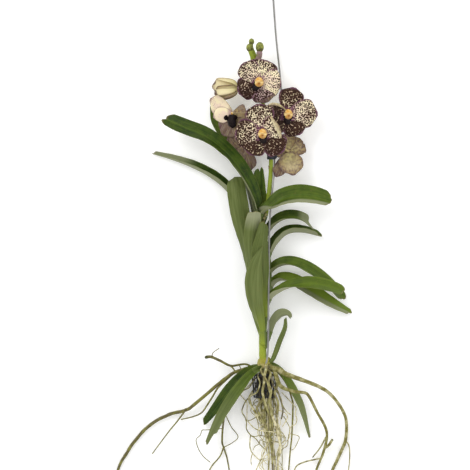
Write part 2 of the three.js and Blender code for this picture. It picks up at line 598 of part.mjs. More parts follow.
function buildRoots() {
  const crownCut = solidOf(crownShape(SEAT_GAP));
  for (const root of ROOTS) {
    const pieces = [limb(root.path, root.radii, { steps: root.steps, knob: 0.05 })];
    for (const { path, radii, steps } of root.branches) pieces.push(limb(path, radii, { sides: 4, steps }));
    place(root.name, geometryFrom(mainPiece(joined(pieces).subtract(crownCut))), FINISH.root());
  }
}

// ---------------------------------------------------------------- root bundle
// The roots of the bundle start on a plate inside the basket, run down as one core and swing
// out of it in loops. Two more come off the front of the crown and run down over the basket.
const BUNDLE_PLATE = { x: BASKET_X, y: -38, z: BASKET_AXIS_Z, rx: 10, ry: 4, rz: 10 };
const BUNDLE_CORE = [[-5, -38, 27], [-3, -72, 26], [6, -116, 20], [8, -190, 14], [9, -256, 9]];
const BUNDLE_CORE_RADII = [9, 8, 7.5, 6.5, 4];
const BUNDLE_LOOPS = 13;
const FRONT_ROOTS = [
  [[-4, -14, 38], [0, -20, 60.5], [1, -46, 61], [1, -76, 55], [5, -108, 32], [7, -136, 20]],
  [[0, -13, 38], [6, -20, 61], [7, -46, 61.5], [7, -76, 55], [10, -112, 30], [10, -146, 18]],
];

/** Repeatable numbers from 0 to 1. */
function seeded(seed) {
  let state = seed;
  return () => {
    state = (state * 1664525 + 1013904223) % 4294967296;
    return state / 4294967296;
  };
}

/** A thin root that leaves the core, swings out to one side and turns back towards it. */
function loopRows(random, i) {
  const from = mix(0.29, 0.82, i / (BUNDLE_LOOPS - 1));
  const start = pointAt(BUNDLE_CORE, from);
  const hand = i % 2 === 0 ? -1 : 1;
  const reach = (hand < 0 ? 26 : 17) + 20 * random();
  const fall = 12 + 14 * random();
  const rise = 14 * (random() - 0.5);
  const at = (out, down, up) => [start.x + hand * out, start.y - down, Math.max(3.5, start.z + up)];
  return [
    at(0, 0, 0),
    at(reach * 0.7, fall * 0.25, rise),
    at(reach, fall, rise),
    at(reach * 0.55, fall * 1.9, rise * 0.6),
    at(reach * 0.7, fall * 2.6, 0),
  ];
}

function buildBundle() {
  const random = seeded(11);
  const { x, y, z, rx, ry, rz } = BUNDLE_PLATE;
  const pieces = [
    ellipsoid([x, y, z], [rx, ry, rz], 8, 4),
    limb(BUNDLE_CORE, BUNDLE_CORE_RADII, { sides: 7, steps: 9, knob: 0.08 }),
    ...FRONT_ROOTS.map((rows) => limb(rows, [2.4, 2.4, 2.6, 2.4], { steps: 9 })),
  ];
  for (let i = 0; i < BUNDLE_LOOPS; i++) {
    pieces.push(limb(loopRows(random, i), [1.5, 1.4, 1.2, 0.9], { sides: 3, steps: 8 }));
  }
  const crownCut = solidOf(crownShape(SEAT_GAP));
  place('root_bundle', geometryFrom(mainPiece(joined(pieces).subtract(crownCut))), FINISH.root());
}

// ---------------------------------------------------------------- basket
function turned(profile, sides) {
  const points = [];
  const triangles = [];
  for (let k = 0; k < sides; k++) {
    const turn = ((k + 0.5) / sides) * 2 * Math.PI;
    for (const [radius, height] of profile) {
      points.push(new THREE.Vector3(radius * Math.sin(turn), height, radius * Math.cos(turn)));
    }
  }
  const count = profile.length;
  for (let k = 0; k < sides; k++) {
    const next = (k + 1) % sides;
    for (let i = 0; i < count; i++) {
      const j = (i + 1) % count;
      const [a, b, c, d] = [k * count + i, next * count + i, next * count + j, k * count + j];
      triangles.push(a, c, b, a, d, c);
    }
  }
  return geometryOf(points, triangles);
}

function boxAt(width, height, depth, x, y, z) {
  const points = [];
  for (const i of [-0.5, 0.5]) for (const j of [-0.5, 0.5]) for (const k of [-0.5, 0.5]) {
    points.push(new THREE.Vector3(x + i * width, y + j * height, z + k * depth));
  }
  const faces = [[0, 1, 3, 2], [4, 6, 7, 5], [0, 4, 5, 1], [2, 3, 7, 6], [0, 2, 6, 4], [1, 5, 7, 3]];
  return geometryOf(points, faces.flatMap(([a, b, c, d]) => [a, b, c, a, c, d]));
}

function buildBasket() {
  const wallTop = BASKET_RIM_RADIUS - BASKET_STEP;
  const profile = [
    [BASKET_RIM_RADIUS, 0],
    [BASKET_RIM_RADIUS, -BASKET_LIP],
    [wallTop, -BASKET_LIP],
    [BASKET_END_RADIUS, -BASKET_DEPTH],
    [BASKET_END_RADIUS - BASKET_WALL, -BASKET_DEPTH],
    [wallTop - BASKET_WALL, 0],
  ];
  let basket = solidOf(turned(profile, BASKET_SIDES));
  for (let i = 0; i < BASKET_SLOTS; i++) {
    const slot = boxAt(9, 30, 24, 0, -25, 26).rotateY(((i + 0.5) / BASKET_SLOTS) * 2 * Math.PI);
    basket = basket.subtract(solidOf(slot));
  }
  const geometry = geometryFrom(basket).translate(BASKET_X, BASKET_RIM_Y, BASKET_AXIS_Z);
  place('net_basket', geometry, FINISH.basket());
}

// ---------------------------------------------------------------- wire and clip
const WIRE_PATH = [[-5, -31, 57.2], [-5, -22, 57.2], [-3, -8, 58], [2, 30, 62], [3, 126, 67], [4, 220, 66],
  [5, 276, 61], [9, 330, 54], [13.6, 372, 46], [15, 404, 39], [16, 430, 35], [22, 490, 24], [29, 530, 18],
  [28, 556, 15], [25, 590, 12], [18, 656, 7], [13, 726, 2], [12, 744, 1.3]];
const HOOK = { x: 6, y: 752, z: 1.3, radius: 7 };

function buildWire() {
  const hook = Array.from({ length: 7 }, (_, i) => {
    const turn = (-20 + i * 42) * DEG;
    return [HOOK.x + HOOK.radius * Math.cos(turn), HOOK.y + HOOK.radius * Math.sin(turn), HOOK.z];
  });
  const rows = [...WIRE_PATH, ...hook];
  place('hanging_wire', limb(rows, [WIRE_RADIUS, WIRE_RADIUS], { sides: 5, steps: 46 }), FINISH.wire());
}

function buildClip() {
  const ring = solidOf(turned([[8, 0], [8, -13], [5, -13], [5, 0]], 10));
  const geometry = geometryFrom(ring).translate(7.4, 420, 45);
  place('spike_clip', geometry, FINISH.clip());
}

buildStem();
buildLeaves();
buildStalk();
buildBlooms();
buildRoots();
buildBundle();
buildBasket();
buildWire();
buildClip();
plant.position.set(-BASKET_X, BASKET_LIP / 2 - BASKET_RIM_Y, 0);

export default plant;
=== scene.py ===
"""A vanda orchid with bare roots, laid on its back on a pale floor.

The plant grows along +Y and +Z points up from the floor. Sizes are millimetres, laid out from the
middle of the crown, and the bench moves them into the part's own frame, which is in metres.
"""
import logging
import math
from collections.abc import Callable, Sequence
from dataclasses import dataclass, replace
from enum import Enum
from functools import cached_property

import bmesh
import bpy
import numpy as np
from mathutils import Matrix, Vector

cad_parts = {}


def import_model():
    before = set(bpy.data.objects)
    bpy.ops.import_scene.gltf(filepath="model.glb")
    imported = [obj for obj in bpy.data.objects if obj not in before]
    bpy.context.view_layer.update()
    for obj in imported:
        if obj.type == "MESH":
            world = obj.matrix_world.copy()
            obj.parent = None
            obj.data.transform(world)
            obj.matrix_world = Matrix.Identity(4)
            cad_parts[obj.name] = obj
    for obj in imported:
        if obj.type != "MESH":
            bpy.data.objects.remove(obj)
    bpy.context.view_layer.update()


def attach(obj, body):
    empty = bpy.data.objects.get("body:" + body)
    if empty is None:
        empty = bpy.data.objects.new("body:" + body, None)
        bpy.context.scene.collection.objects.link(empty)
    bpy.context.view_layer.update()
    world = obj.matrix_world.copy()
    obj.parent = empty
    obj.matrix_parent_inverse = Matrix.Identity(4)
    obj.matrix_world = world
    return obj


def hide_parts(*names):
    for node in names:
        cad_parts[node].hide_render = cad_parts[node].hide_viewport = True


LOG = logging.getLogger("vanda")
BODY = "root"
MM = 0.001
UP = np.array([0.0, 0.0, 1.0])
SEAT_GAP = 0.35
SEED_SHIFT = 97.0
CURVE_STEP = 0.004
DOME_TURNS = np.radians([62.0, 34.0])
Array = np.ndarray
Rows = Sequence[Sequence[float]]
Triple = tuple[float, float, float]


# ---- curves and small sums
def smooth_rows(rows: Rows, t: Array) -> Array:
    """Samples a smooth curve that passes through every row.

    Args:
        rows: Points, or points with further numbers, in order.
        t: Places along the curve, from 0 to 1, of any shape.

    Returns:
        The rows at t, with one more axis than t.
    """
    table = np.asarray(rows, float)
    padded = np.vstack([2 * table[0] - table[1], table, 2 * table[-1] - table[-2]])
    spans = len(table) - 1
    place = np.clip(t, 0, 1) * spans
    first = np.minimum(place.astype(int), spans - 1)
    u = (place - first)[..., None]
    a, b, c, d = (padded[first + k] for k in range(4))
    linear = (c - a) * u
    square = (2 * a - 5 * b + 4 * c - d) * u**2
    cube = (3 * b - a - 3 * c + d) * u**3
    return 0.5 * (2 * b + linear + square + cube)


def unit(vectors: Array) -> Array:
    """Gives vectors the length 1."""
    return vectors / np.maximum(np.linalg.norm(vectors, axis=-1, keepdims=True), 1e-9)


def directions(rows: Rows, t: Array) -> Array:
    """Gives the unit directions of a smooth curve at t."""
    ahead, behind = (smooth_rows(rows, np.clip(t + a, 0, 1))[..., :3] for a in (CURVE_STEP, -CURVE_STEP))
    return unit(ahead - behind)


def length_of(rows: Rows) -> float:
    """Gives the length of a smooth curve in millimetres."""
    points = smooth_rows(rows, np.linspace(0, 1, 81))[:, :3]
    return float(np.linalg.norm(np.diff(points, axis=0), axis=1).sum())


def mix(a: float, b: float, share: Array | float) -> Array | float:
    """Goes from a to b as share goes from 0 to 1."""
    return a + (b - a) * share


def bell(x: Array | float, width: float) -> Array | float:
    """Gives a smooth hump of height 1 round zero."""
    return np.exp(-((x / width) ** 2))


def ripple(a: Array, b: Array, seed: int) -> Array:
    """Gives a smooth, repeatable unevenness over two coordinates.

    Args:
        a: First coordinate.
        b: Second coordinate, of the same or a matching shape.
        seed: Which unevenness.

    Returns:
        Heights from -1 to 1.
    """
    random = np.random.default_rng(seed)
    total = np.zeros(np.broadcast(a, b).shape)
    for weight, pace in ((0.5, 1.0), (0.3, 2.3), (0.2, 4.1)):
        turn_a, turn_b = random.uniform(0.7, 1.3, 2) * pace
        start_a, start_b = random.uniform(0, 2 * math.pi, 2)
        total = total + weight * np.sin(turn_a * a + start_a) * np.sin(turn_b * b + start_b)
    return total * 1.6


def even_turns(sides: int) -> Array:
    """Gives even turns round a circle in radians."""
    return np.arange(sides) / sides * 2 * math.pi


def round_y(turn: float) -> tuple[Array, Array]:
    """Gives the directions out from the Y axis and round it, at a turn from +Z."""
    return np.array([math.sin(turn), 0, math.cos(turn)]), np.array([math.cos(turn), 0, -math.sin(turn)])


# ---- meshes
@dataclass
class Patch:
    """One closed surface with the values that its finish reads at each point.

    place is millimetres across, along and through the piece; form is the share across (-1 to 1),
    the share along (0 to 1) and 1 on the reverse face; tone and tint are read by the finish; slot
    says which of the piece's finishes it takes.
    """

    points: Array
    faces: list[Array]
    place: Array
    form: Array
    tone: Array
    tint: Array
    slot: int = 0


def grid_quads(ids: Array) -> Array:
    """Gives the four-cornered faces of a grid of point numbers."""
    return stacked(ids[:-1, :-1], ids[:-1, 1:], ids[1:, 1:], ids[1:, :-1]).reshape(-1, 4)


def closed_rows(ids: Array) -> Array:
    """Repeats the first column of a grid of point numbers after its last."""
    return np.hstack([ids, ids[:, :1]])


def fan(start: Array, end: Array, pole: int) -> Array:
    """Gives the three-cornered faces from a ring's edges to a pole."""
    return stacked(start, end, pole)


def stacked(*parts: Array | float) -> Array:
    """Joins numbers side by side along a new last axis."""
    return np.stack(np.broadcast_arrays(*parts), axis=-1)


def spread_values(value: Array | float, shape: tuple[int, ...]) -> Array:
    """Gives one number for each point of a grid."""
    return np.broadcast_to(np.asarray(value, float), shape).reshape(-1)


def blade_grid(rows: Array, columns: int) -> tuple[Array, Array]:
    """Gives a grid over a blade, closer together at its margins.

    Args:
        rows: Shares along it, from 0 to 1.
        columns: Points across it.

    Returns:
        The share along and the share across, from -1 to 1, of each point.
    """
    across = np.sin(np.linspace(-1, 1, columns) * math.pi / 2)
    return tuple(np.meshgrid(rows, across, indexing="ij"))


def two_faced(
    upper: Array,
    lower: Array,
    place: Array,
    form: Array,
    tone: Array | float = 0.0,
    tint: Array | float = 0.0,
    open_start: bool = False,
    slot: int = 0,
) -> Patch:
    """Joins two grids of points into a thin closed blade with a shared rim.

    Args:
        upper: Points of the upper face, rows along and columns across.
        lower: Points of the lower face, laid out alike.
        place: Millimetres across, along and through, for each grid point.
        form: Share across and share along, for each grid point.
        tone: First value for the finish.
        tint: Second value for the finish.
        open_start: True where the first row keeps its full thickness and gets an end wall.
        slot: Which of the piece's finishes it takes.

    Returns:
        The blade.
    """
    rows, columns = upper.shape[:2]
    top = np.arange(rows * columns).reshape(rows, columns)
    bottom = top + rows * columns
    bottom[:, [0, -1]] = top[:, [0, -1]]
    bottom[-1] = top[-1]
    if not open_start:
        bottom[0] = top[0]
    faces = [grid_quads(top), grid_quads(bottom)[:, ::-1]]
    if open_start:
        faces.append(grid_quads(np.stack([bottom[0], top[0]])))
    sides = np.zeros((2, rows, columns, 1))
    sides[1] = 1.0
    sides[:, :, [0, -1]] = 0.5
    sides[:, -1] = 0.5
    forms = np.concatenate([np.stack([form, form]), sides], axis=-1)
    quads = np.concatenate(faces)
    used, renumbered = np.unique(quads, return_inverse=True)
    return Patch(
        points=np.stack([upper, lower]).reshape(-1, 3)[used],
        faces=[renumbered.reshape(quads.shape)],
        place=np.stack([place, place]).reshape(-1, 3)[used],
        form=forms.reshape(-1, 3)[used],
        tone=np.tile(spread_values(tone, (rows, columns)), 2)[used],
        tint=np.tile(spread_values(tint, (rows, columns)), 2)[used],
        slot=slot,
    )


def carried_sides(along: Array, start: Array | None = None) -> Array:
    """Carries a sideways direction along a curve without twisting it.

    Args:
        along: Unit directions of the curve, in order.
        start: The first sideways direction, or None for any.

    Returns:
        One unit direction for each step, square to the curve.
    """
    side = start
    if side is None:
        side = np.cross(along[0], UP if abs(along[0][2]) < 0.9 else np.array([1.0, 0.0, 0.0]))
    sides = np.empty_like(along)
    for i, step in enumerate(along):
        side = side - step * float(side @ step)
        side = side / np.linalg.norm(side)
        sides[i] = side
    return sides


def round_limb(
    rows: Rows,
    radii: Sequence[float],
    sides: int = 10,
    step: float = 3.0,
    domes: tuple[float, float] = (0.9, 0.9),
    lump: float = 0.0,
    lump_length: float = 6.0,
    flat: float = 1.0,
    side: Array | None = None,
    swell: Callable[[Array], Array] | None = None,
    seed: int = 1,
    tone: float = 0.0,
    tint: float = 0.0,
) -> Patch:
    """Makes a smooth round limb along a curve, with domed ends.

    Args:
        rows: Points of the curve.
        radii: Radii, spaced evenly along it.
        sides: Points round it.
        step: Distance between rings.
        domes: Height of the domes at its start and end, as a share of the radius there.
        lump: Unevenness of the radius, as a share of it.
        lump_length: How long the uneven stretches are.
        flat: Thickness of the section as a share of its width.
        side: Direction of the section's width at the start.
        swell: Gives a factor of the radius for places from 0 to 1.
        seed: Seed of the unevenness and of the finish.
        tone: First value for the finish.
        tint: Second value for the finish.

    Returns:
        The limb.
    """
    long = length_of(rows)
    count = max(4, int(long / step))
    t = np.linspace(0, 1, count + 1)
    centre = smooth_rows(rows, t)[:, :3]
    along = directions(rows, t)
    across = carried_sides(along, side)
    other = np.cross(along, across) * flat
    radius = smooth_rows([[value] for value in radii], t)[:, 0]
    if swell is not None:
        radius = radius * swell(t)
    start_dome, end_dome = -along[0] * (radius[0] * domes[0]), along[-1] * (radius[-1] * domes[1])
    rise, narrow = np.sin(DOME_TURNS)[:, None], np.cos(DOME_TURNS)
    centres = np.vstack([centre[0] + start_dome * rise, centre, centre[-1] + end_dome * rise[::-1]])
    scale = np.concatenate([radius[0] * narrow, radius, radius[-1] * narrow[::-1]])
    pick = np.concatenate([[0, 0], np.arange(count + 1), [count, count]])
    turn = even_turns(sides)
    cos, sin = np.cos(turn), np.sin(turn)
    run = t[pick] * long
    reach = scale[:, None] * (1 + lump * ripple(turn[None, :], run[:, None] / lump_length, seed))
    ring = across[pick][:, None] * cos[None, :, None] + other[pick][:, None] * sin[None, :, None]
    points = centres[:, None] + ring * reach[..., None]
    poles = np.stack([centre[0] + start_dome, centre[-1] + end_dome])
    total = reach.size
    wrapped = closed_rows(np.arange(total).reshape(-1, sides))
    first, last = wrapped[0], wrapped[-1]
    shift = seed * SEED_SHIFT
    place = stacked(cos * reach, run[:, None] + shift, sin * reach)
    form = stacked(cos, t[pick][:, None], 0)
    return Patch(
        points=np.vstack([points.reshape(-1, 3), poles]),
        faces=[grid_quads(wrapped), fan(first[1:], first[:-1], total), fan(last[:-1], last[1:], total + 1)],
        place=np.vstack([place.reshape(-1, 3), [[0, shift, 0], [0, long + shift, 0]]]),
        form=np.vstack([form.reshape(-1, 3), [[0, 0, 0], [0, 1, 0]]]),
        tone=spread_values(tone, (total + 2,)),
        tint=spread_values(tint, (total + 2,)),
    )


def unit_globe(sides: int, rings: int) -> tuple[Array, list[Array]]:
    """Makes a unit ball with its poles on Y.

    Args:
        sides: Points round it.
        rings: Bands from pole to pole.

    Returns:
        Its points, and its faces.
    """
    polar = np.arange(1, rings)[:, None] / rings * math.pi
    turn = even_turns(sides)
    around = np.sin(polar)
    grid = stacked(around * np.sin(turn), np.cos(polar), around * np.cos(turn))
    total = grid.shape[0] * sides
    wrapped = closed_rows(np.arange(total).reshape(-1, sides))
    first, last = wrapped[0], wrapped[-1]
    fans = [fan(first[:-1], first[1:], total), fan(last[1:], last[:-1], total + 1)]
    return np.vstack([grid.reshape(-1, 3), [[0, 1, 0], [0, -1, 0]]]), [grid_quads(wrapped)[:, ::-1], *fans]


def shaped_globe(
    shape: Callable[[Array], Array],
    sides: int,
    rings: int,
    tone: Callable[[Array], Array] | float = 0.0,
    tint: float = 0.0,
    seed: int = 1,
    slot: int = 0,
) -> Patch:
    """Makes a closed lump from a unit ball.

    Args:
        shape: Moves the unit ball's points to their places in millimetres.
        sides: Points round it.
        rings: Bands from pole to pole.
        tone: First value for the finish, or what gives it from the unit ball's points.
        tint: Second value for the finish.
        seed: Offset of the finish.
        slot: Which of the piece's finishes it takes.

    Returns:
        The lump.
    """
    ball, faces = unit_globe(sides, rings)
    points = shape(ball)
    return Patch(
        points=points,
        faces=faces,
        place=points - points.mean(axis=0) + np.array([0, seed * SEED_SHIFT, 0]),
        form=stacked(ball[:, 0], (ball[:, 1] + 1) / 2, 0),
        tone=spread_values(tone(ball) if callable(tone) else tone, (len(ball),)),
        tint=spread_values(tint, (len(ball),)),
        slot=slot,
    )


def turned_ring(section: Array, sides: int) -> Patch:
    """Turns a section round the Y axis.

    Args:
        section: Its closed outline, as (radius, height) pairs.
        sides: Points round the axis.

    Returns:
        The ring.
    """
    turn = even_turns(sides)[:, None]
    radius, height = section[:, 0], section[:, 1]
    points = stacked(np.sin(turn) * radius, height, np.cos(turn) * radius).reshape(-1, 3)
    wrapped = closed_rows(np.arange(len(points)).reshape(sides, -1))
    return Patch(
        points=points,
        faces=[grid_quads(np.vstack([wrapped, wrapped[:1]]))],
        place=points.copy(),
        form=np.zeros_like(points),
        tone=np.zeros(len(points)),
        tint=np.zeros(len(points)),
    )


def rounded_section(inner: float, outer: float, low: float, high: float, corner: float) -> Array:
    """Gives the outline of a ring's section: a box with its corners cut round.

    Args:
        inner: Its inner radius.
        outer: Its outer radius.
        low: Height of its lower side.
        high: Height of its upper side.
        corner: Radius of its corners.

    Returns:
        Its (radius, height) pairs.
    """
    outline = []
    for radius, height, start in ((outer, high, 0), (inner, high, 90), (inner, low, 180), (outer, low, 270)):
        x = radius - corner if radius == outer else radius + corner
        y = height - corner if height == high else height + corner
        for turn in np.radians(np.array([0, 30, 60, 90]) + start):
            outline.append((x + corner * math.cos(turn), y + corner * math.sin(turn)))
    return np.array(outline)


def shifted(patch: Patch, offset: Sequence[float]) -> Patch:
    """Moves a patch without turning it."""
    return replace(patch, points=patch.points + np.array(offset, float))


# ---- nodes
Tree = bpy.types.NodeTree
Material = bpy.types.Material
Socket = bpy.types.NodeSocket
Sockets = bpy.types.bpy_prop_collection
Plug = Socket | float | str | Sequence[float]


def linear_colour(code: str) -> tuple[float, float, float, float]:
    """Gives the linear colour of a six-digit code."""
    parts = [int(code[i:i + 2], 16) / 255 for i in (1, 3, 5)]
    return (*(p / 12.92 if p <= 0.04045 else ((p + 0.055) / 1.055) ** 2.4 for p in parts), 1.0)


class Wiring:
    """Short calls that add nodes to one tree and give back their outputs."""

    def __init__(self, tree: Tree) -> None:
        """Keeps the tree that the nodes go into."""
        self.tree = tree

    def feed(self, sockets: Sockets, values: dict[str | int, Plug]) -> None:
        """Sets or links the inputs of a node.

        Args:
            sockets: The inputs.
            values: Numbers, six-digit colours or outputs, by the input's name or number.
        """
        for key, value in values.items():
            if isinstance(value, Socket):
                self.tree.links.new(value, sockets[key])
            else:
                sockets[key].default_value = linear_colour(value) if isinstance(value, str) else value

    def node(self, kind: str, inputs: dict[str | int, Plug], **settings: object) -> bpy.types.Node:
        """Adds a node.

        Args:
            kind: Blender's name for it.
            inputs: What goes into its sockets, by name or number.
            **settings: Its own properties.

        Returns:
            The node.
        """
        node = self.tree.nodes.new(kind)
        for name, value in settings.items():
            setattr(node, name, value)
        self.feed(node.inputs, inputs)
        return node

    def maths(self, operation: str, a: Plug, b: Plug = 0.0, clamp: bool = False) -> Socket:
        """Works out one number from two."""
        return self.node("ShaderNodeMath", {0: a, 1: b}, operation=operation, use_clamp=clamp).outputs[0]

    def plus(self, a: Plug, b: Plug, clamp: bool = False) -> Socket:
        """Adds two numbers."""
        return self.maths("ADD", a, b, clamp)

    def minus(self, a: Plug, b: Plug) -> Socket:
        """Takes b from a."""
        return self.maths("SUBTRACT", a, b)

    def times(self, a: Plug, b: Plug, clamp: bool = False) -> Socket:
        """Multiplies two numbers."""
        return self.maths("MULTIPLY", a, b, clamp)

    def over(self, a: Plug, b: Plug) -> Socket:
        """Divides a by b."""
        return self.maths("DIVIDE", a, b)

    def blend(self, share: Plug, a: Plug, b: Plug) -> Socket:
        """Gives a colour between a and b."""
        return self.node("ShaderNodeMix", {0: share, 6: a, 7: b}, data_type="RGBA").outputs[2]

    def band(self, value: Plug, low: float, high: float, start: float = 0.0, end: float = 1.0) -> Socket:
        """Goes smoothly from start to end as value goes from low to high."""
        inputs = {0: value, 1: low, 2: high, 3: start, 4: end}
        return self.node("ShaderNodeMapRange", inputs, interpolation_type="SMOOTHSTEP").outputs[0]

    def split(self, vector: Socket) -> tuple[Socket, Socket, Socket]:
        """Gives the three numbers of a vector."""
        return tuple(self.node("ShaderNodeSeparateXYZ", {0: vector}).outputs)

    def noise(self, vector: Socket, scale: Plug, detail: float, roughness: float = 0.5) -> Sockets:
        """Gives the outputs of a noise."""
        inputs = {"Vector": vector, "Scale": scale, "Detail": detail, "Roughness": roughness}
        return self.node("ShaderNodeTexNoise", inputs).outputs

    def effect(self, group: Tree, inputs: dict[str, Plug]) -> Sockets:
        """Places a shared effect and gives its outputs."""
        return self.node("ShaderNodeGroup", inputs, node_tree=group).outputs

    def relief(self, height: Socket, depth: float, strength: float = 1.0) -> Socket:
        """Gives the normal of a fine relief, depth in millimetres."""
        inputs = {"Height": height, "Distance": depth * MM, "Strength": strength}
        return self.node("ShaderNodeBump", inputs).outputs["Normal"]


class SharedEffect(Wiring):
    """An effect in the making: a node group with named inputs and outputs."""

    def __init__(self, name: str, inputs: dict[str, str], outputs: Sequence[str]) -> None:
        """Starts the group.

        Args:
            name: Its name.
            inputs: Socket kinds by name, Float or Vector.
            outputs: Names of the numbers that it puts out.
        """
        super().__init__(bpy.data.node_groups.new(name, "ShaderNodeTree"))
        for label, kind in inputs.items():
            self.tree.interface.new_socket(label, in_out="INPUT", socket_type=f"NodeSocket{kind}")
        for label in outputs:
            self.tree.interface.new_socket(label, in_out="OUTPUT", socket_type="NodeSocketFloat")
        self.entry = self.node("NodeGroupInput", {}).outputs

    def finished(self, outputs: dict[str, Socket]) -> Tree:
        """Links the outputs and gives the group."""
        self.node("NodeGroupOutput", outputs)
        return self.tree


def streak_effect() -> Tree:
    """Makes parallel streaks that run along a blade or limb, from 0 to 1.

    Returns:
        The node group.
    """
    w = SharedEffect("parallel_streaks", {"Place": "Vector", "Width": "Float", "Length": "Float"}, ["Streak"])
    x, y, z = w.split(w.entry["Place"])
    width, length = w.entry["Width"], w.entry["Length"]
    paces = {0: w.over(x, width), 1: w.over(y, length), 2: w.over(z, width)}
    vector = w.node("ShaderNodeCombineXYZ", paces).outputs[0]
    return w.finished({"Streak": w.band(w.noise(vector, 1.0, 2.0, 0.6)[0], 0.32, 0.68)})


def mottle_effect() -> Tree:
    """Makes soft blotches and small specks, each from 0 to 1.

    Returns:
        The node group.
    """
    w = SharedEffect("soft_mottle", {"Place": "Vector", "Size": "Float"}, ["Blotch", "Speck"])
    place, pace = w.entry["Place"], w.over(1.0, w.entry["Size"])
    coarse = w.noise(place, pace, 3.0, 0.55)[0]
    fine = w.noise(place, w.times(pace, 6.0), 2.0, 0.6)[0]
    return w.finished({"Blotch": w.band(coarse, 0.35, 0.65), "Speck": w.band(fine, 0.56, 0.72)})


def spot_effect(sway: float = 2.6, stretch: float = 1.25) -> Tree:
    """Makes rounded spots in rows that merge into a dark net as Growth goes from 0 to 1.

    Args:
        sway: How far the rows of spots wander, in millimetres.
        stretch: Length of a spot's cell as a share of its width.

    Returns:
        The node group.
    """
    inputs = {"Place": "Vector", "Growth": "Float", "Cell": "Float"}
    w = SharedEffect("spots_to_net", inputs, ["Spot", "Soft"])
    place, cell = w.entry["Place"], w.entry["Cell"]
    x, y, _ = w.split(place)
    aside, ahead, _ = w.split(w.noise(place, 0.22, 1.0)["Color"])
    x = w.plus(x, w.times(w.minus(aside, 0.5), sway))
    y = w.plus(y, w.times(w.minus(ahead, 0.5), sway))
    paces = {0: w.over(x, cell), 1: w.over(y, w.times(cell, stretch))}
    vector = w.node("ShaderNodeCombineXYZ", paces).outputs[0]
    lattice = {"Vector": vector, "Scale": 1.0, "Randomness": 0.7}
    cells = w.node("ShaderNodeTexVoronoi", lattice, voronoi_dimensions="2D")
    size = w.minus(w.times(w.entry["Growth"], 0.68), 0.02)
    edge = w.minus(size, cells.outputs["Distance"])
    return w.finished({"Spot": w.band(edge, -0.07, 0.05), "Soft": w.band(edge, -0.28, 0.2)})


@dataclass(frozen=True)
class Effects:
    """The effects that several finishes share."""

    streaks: Tree
    mottle: Tree
    spots: Tree


class Coat(Wiring):
    """A material in the making, with the values that are kept at the points of the mesh."""

    def __init__(self, name: str, effects: Effects | None = None) -> None:
        """Starts the material.

        Args:
            name: Its name.
            effects: The shared effects, where it uses any.
        """
        self.material = bpy.data.materials.new(name)
        self.material.use_nodes = True
        super().__init__(self.material.node_tree)
        self.shader = self.tree.nodes["Principled BSDF"].inputs
        self.effects = effects

    def kept(self, name: str, output: str = "Fac") -> Socket:
        """Gives a value that is kept at the points of the mesh."""
        return self.node("ShaderNodeAttribute", {}, attribute_name=name).outputs[output]

    @cached_property
    def place(self) -> Socket:
        """Gives the millimetres across, along and through the piece."""
        return self.kept("place", "Vector")

    @cached_property
    def form(self) -> tuple[Socket, Socket, Socket]:
        """Gives the shares across and along, and 1 on the reverse."""
        return self.split(self.kept("form", "Vector"))

    @cached_property
    def tone(self) -> Socket:
        """Gives the first value for the finish."""
        return self.kept("tone")

    @cached_property
    def tint(self) -> Socket:
        """Gives the second value for the finish."""
        return self.kept("tint")

    def streak(self, width: float, length: float) -> Socket:
        """Gives streaks of a width and a length in millimetres."""
        inputs = {"Place": self.place, "Width": width, "Length": length}
        return self.effect(self.effects.streaks, inputs)["Streak"]

    def mottle(self, size: float) -> tuple[Socket, Socket]:
        """Gives blotches of a size in millimetres, and specks."""
        outputs = self.effect(self.effects.mottle, {"Place": self.place, "Size": size})
        return outputs["Blotch"], outputs["Speck"]

    def finished(
        self, colour: Socket, rough: Socket, normal: Socket | None = None, specular: float = 0.5
    ) -> Material:
        """Fills the surface shader.

        Args:
            colour: Its base colour.
            rough: Its roughness.
            normal: Its normal, where it has a relief.
            specular: Its specular level.

        Returns:
            The material.
        """
        self.feed(self.shader, {"Base Color": colour, "Roughness": rough, "Specular IOR Level": specular})
        if normal is not None:
            self.feed(self.shader, {"Normal": normal})
        return self.material


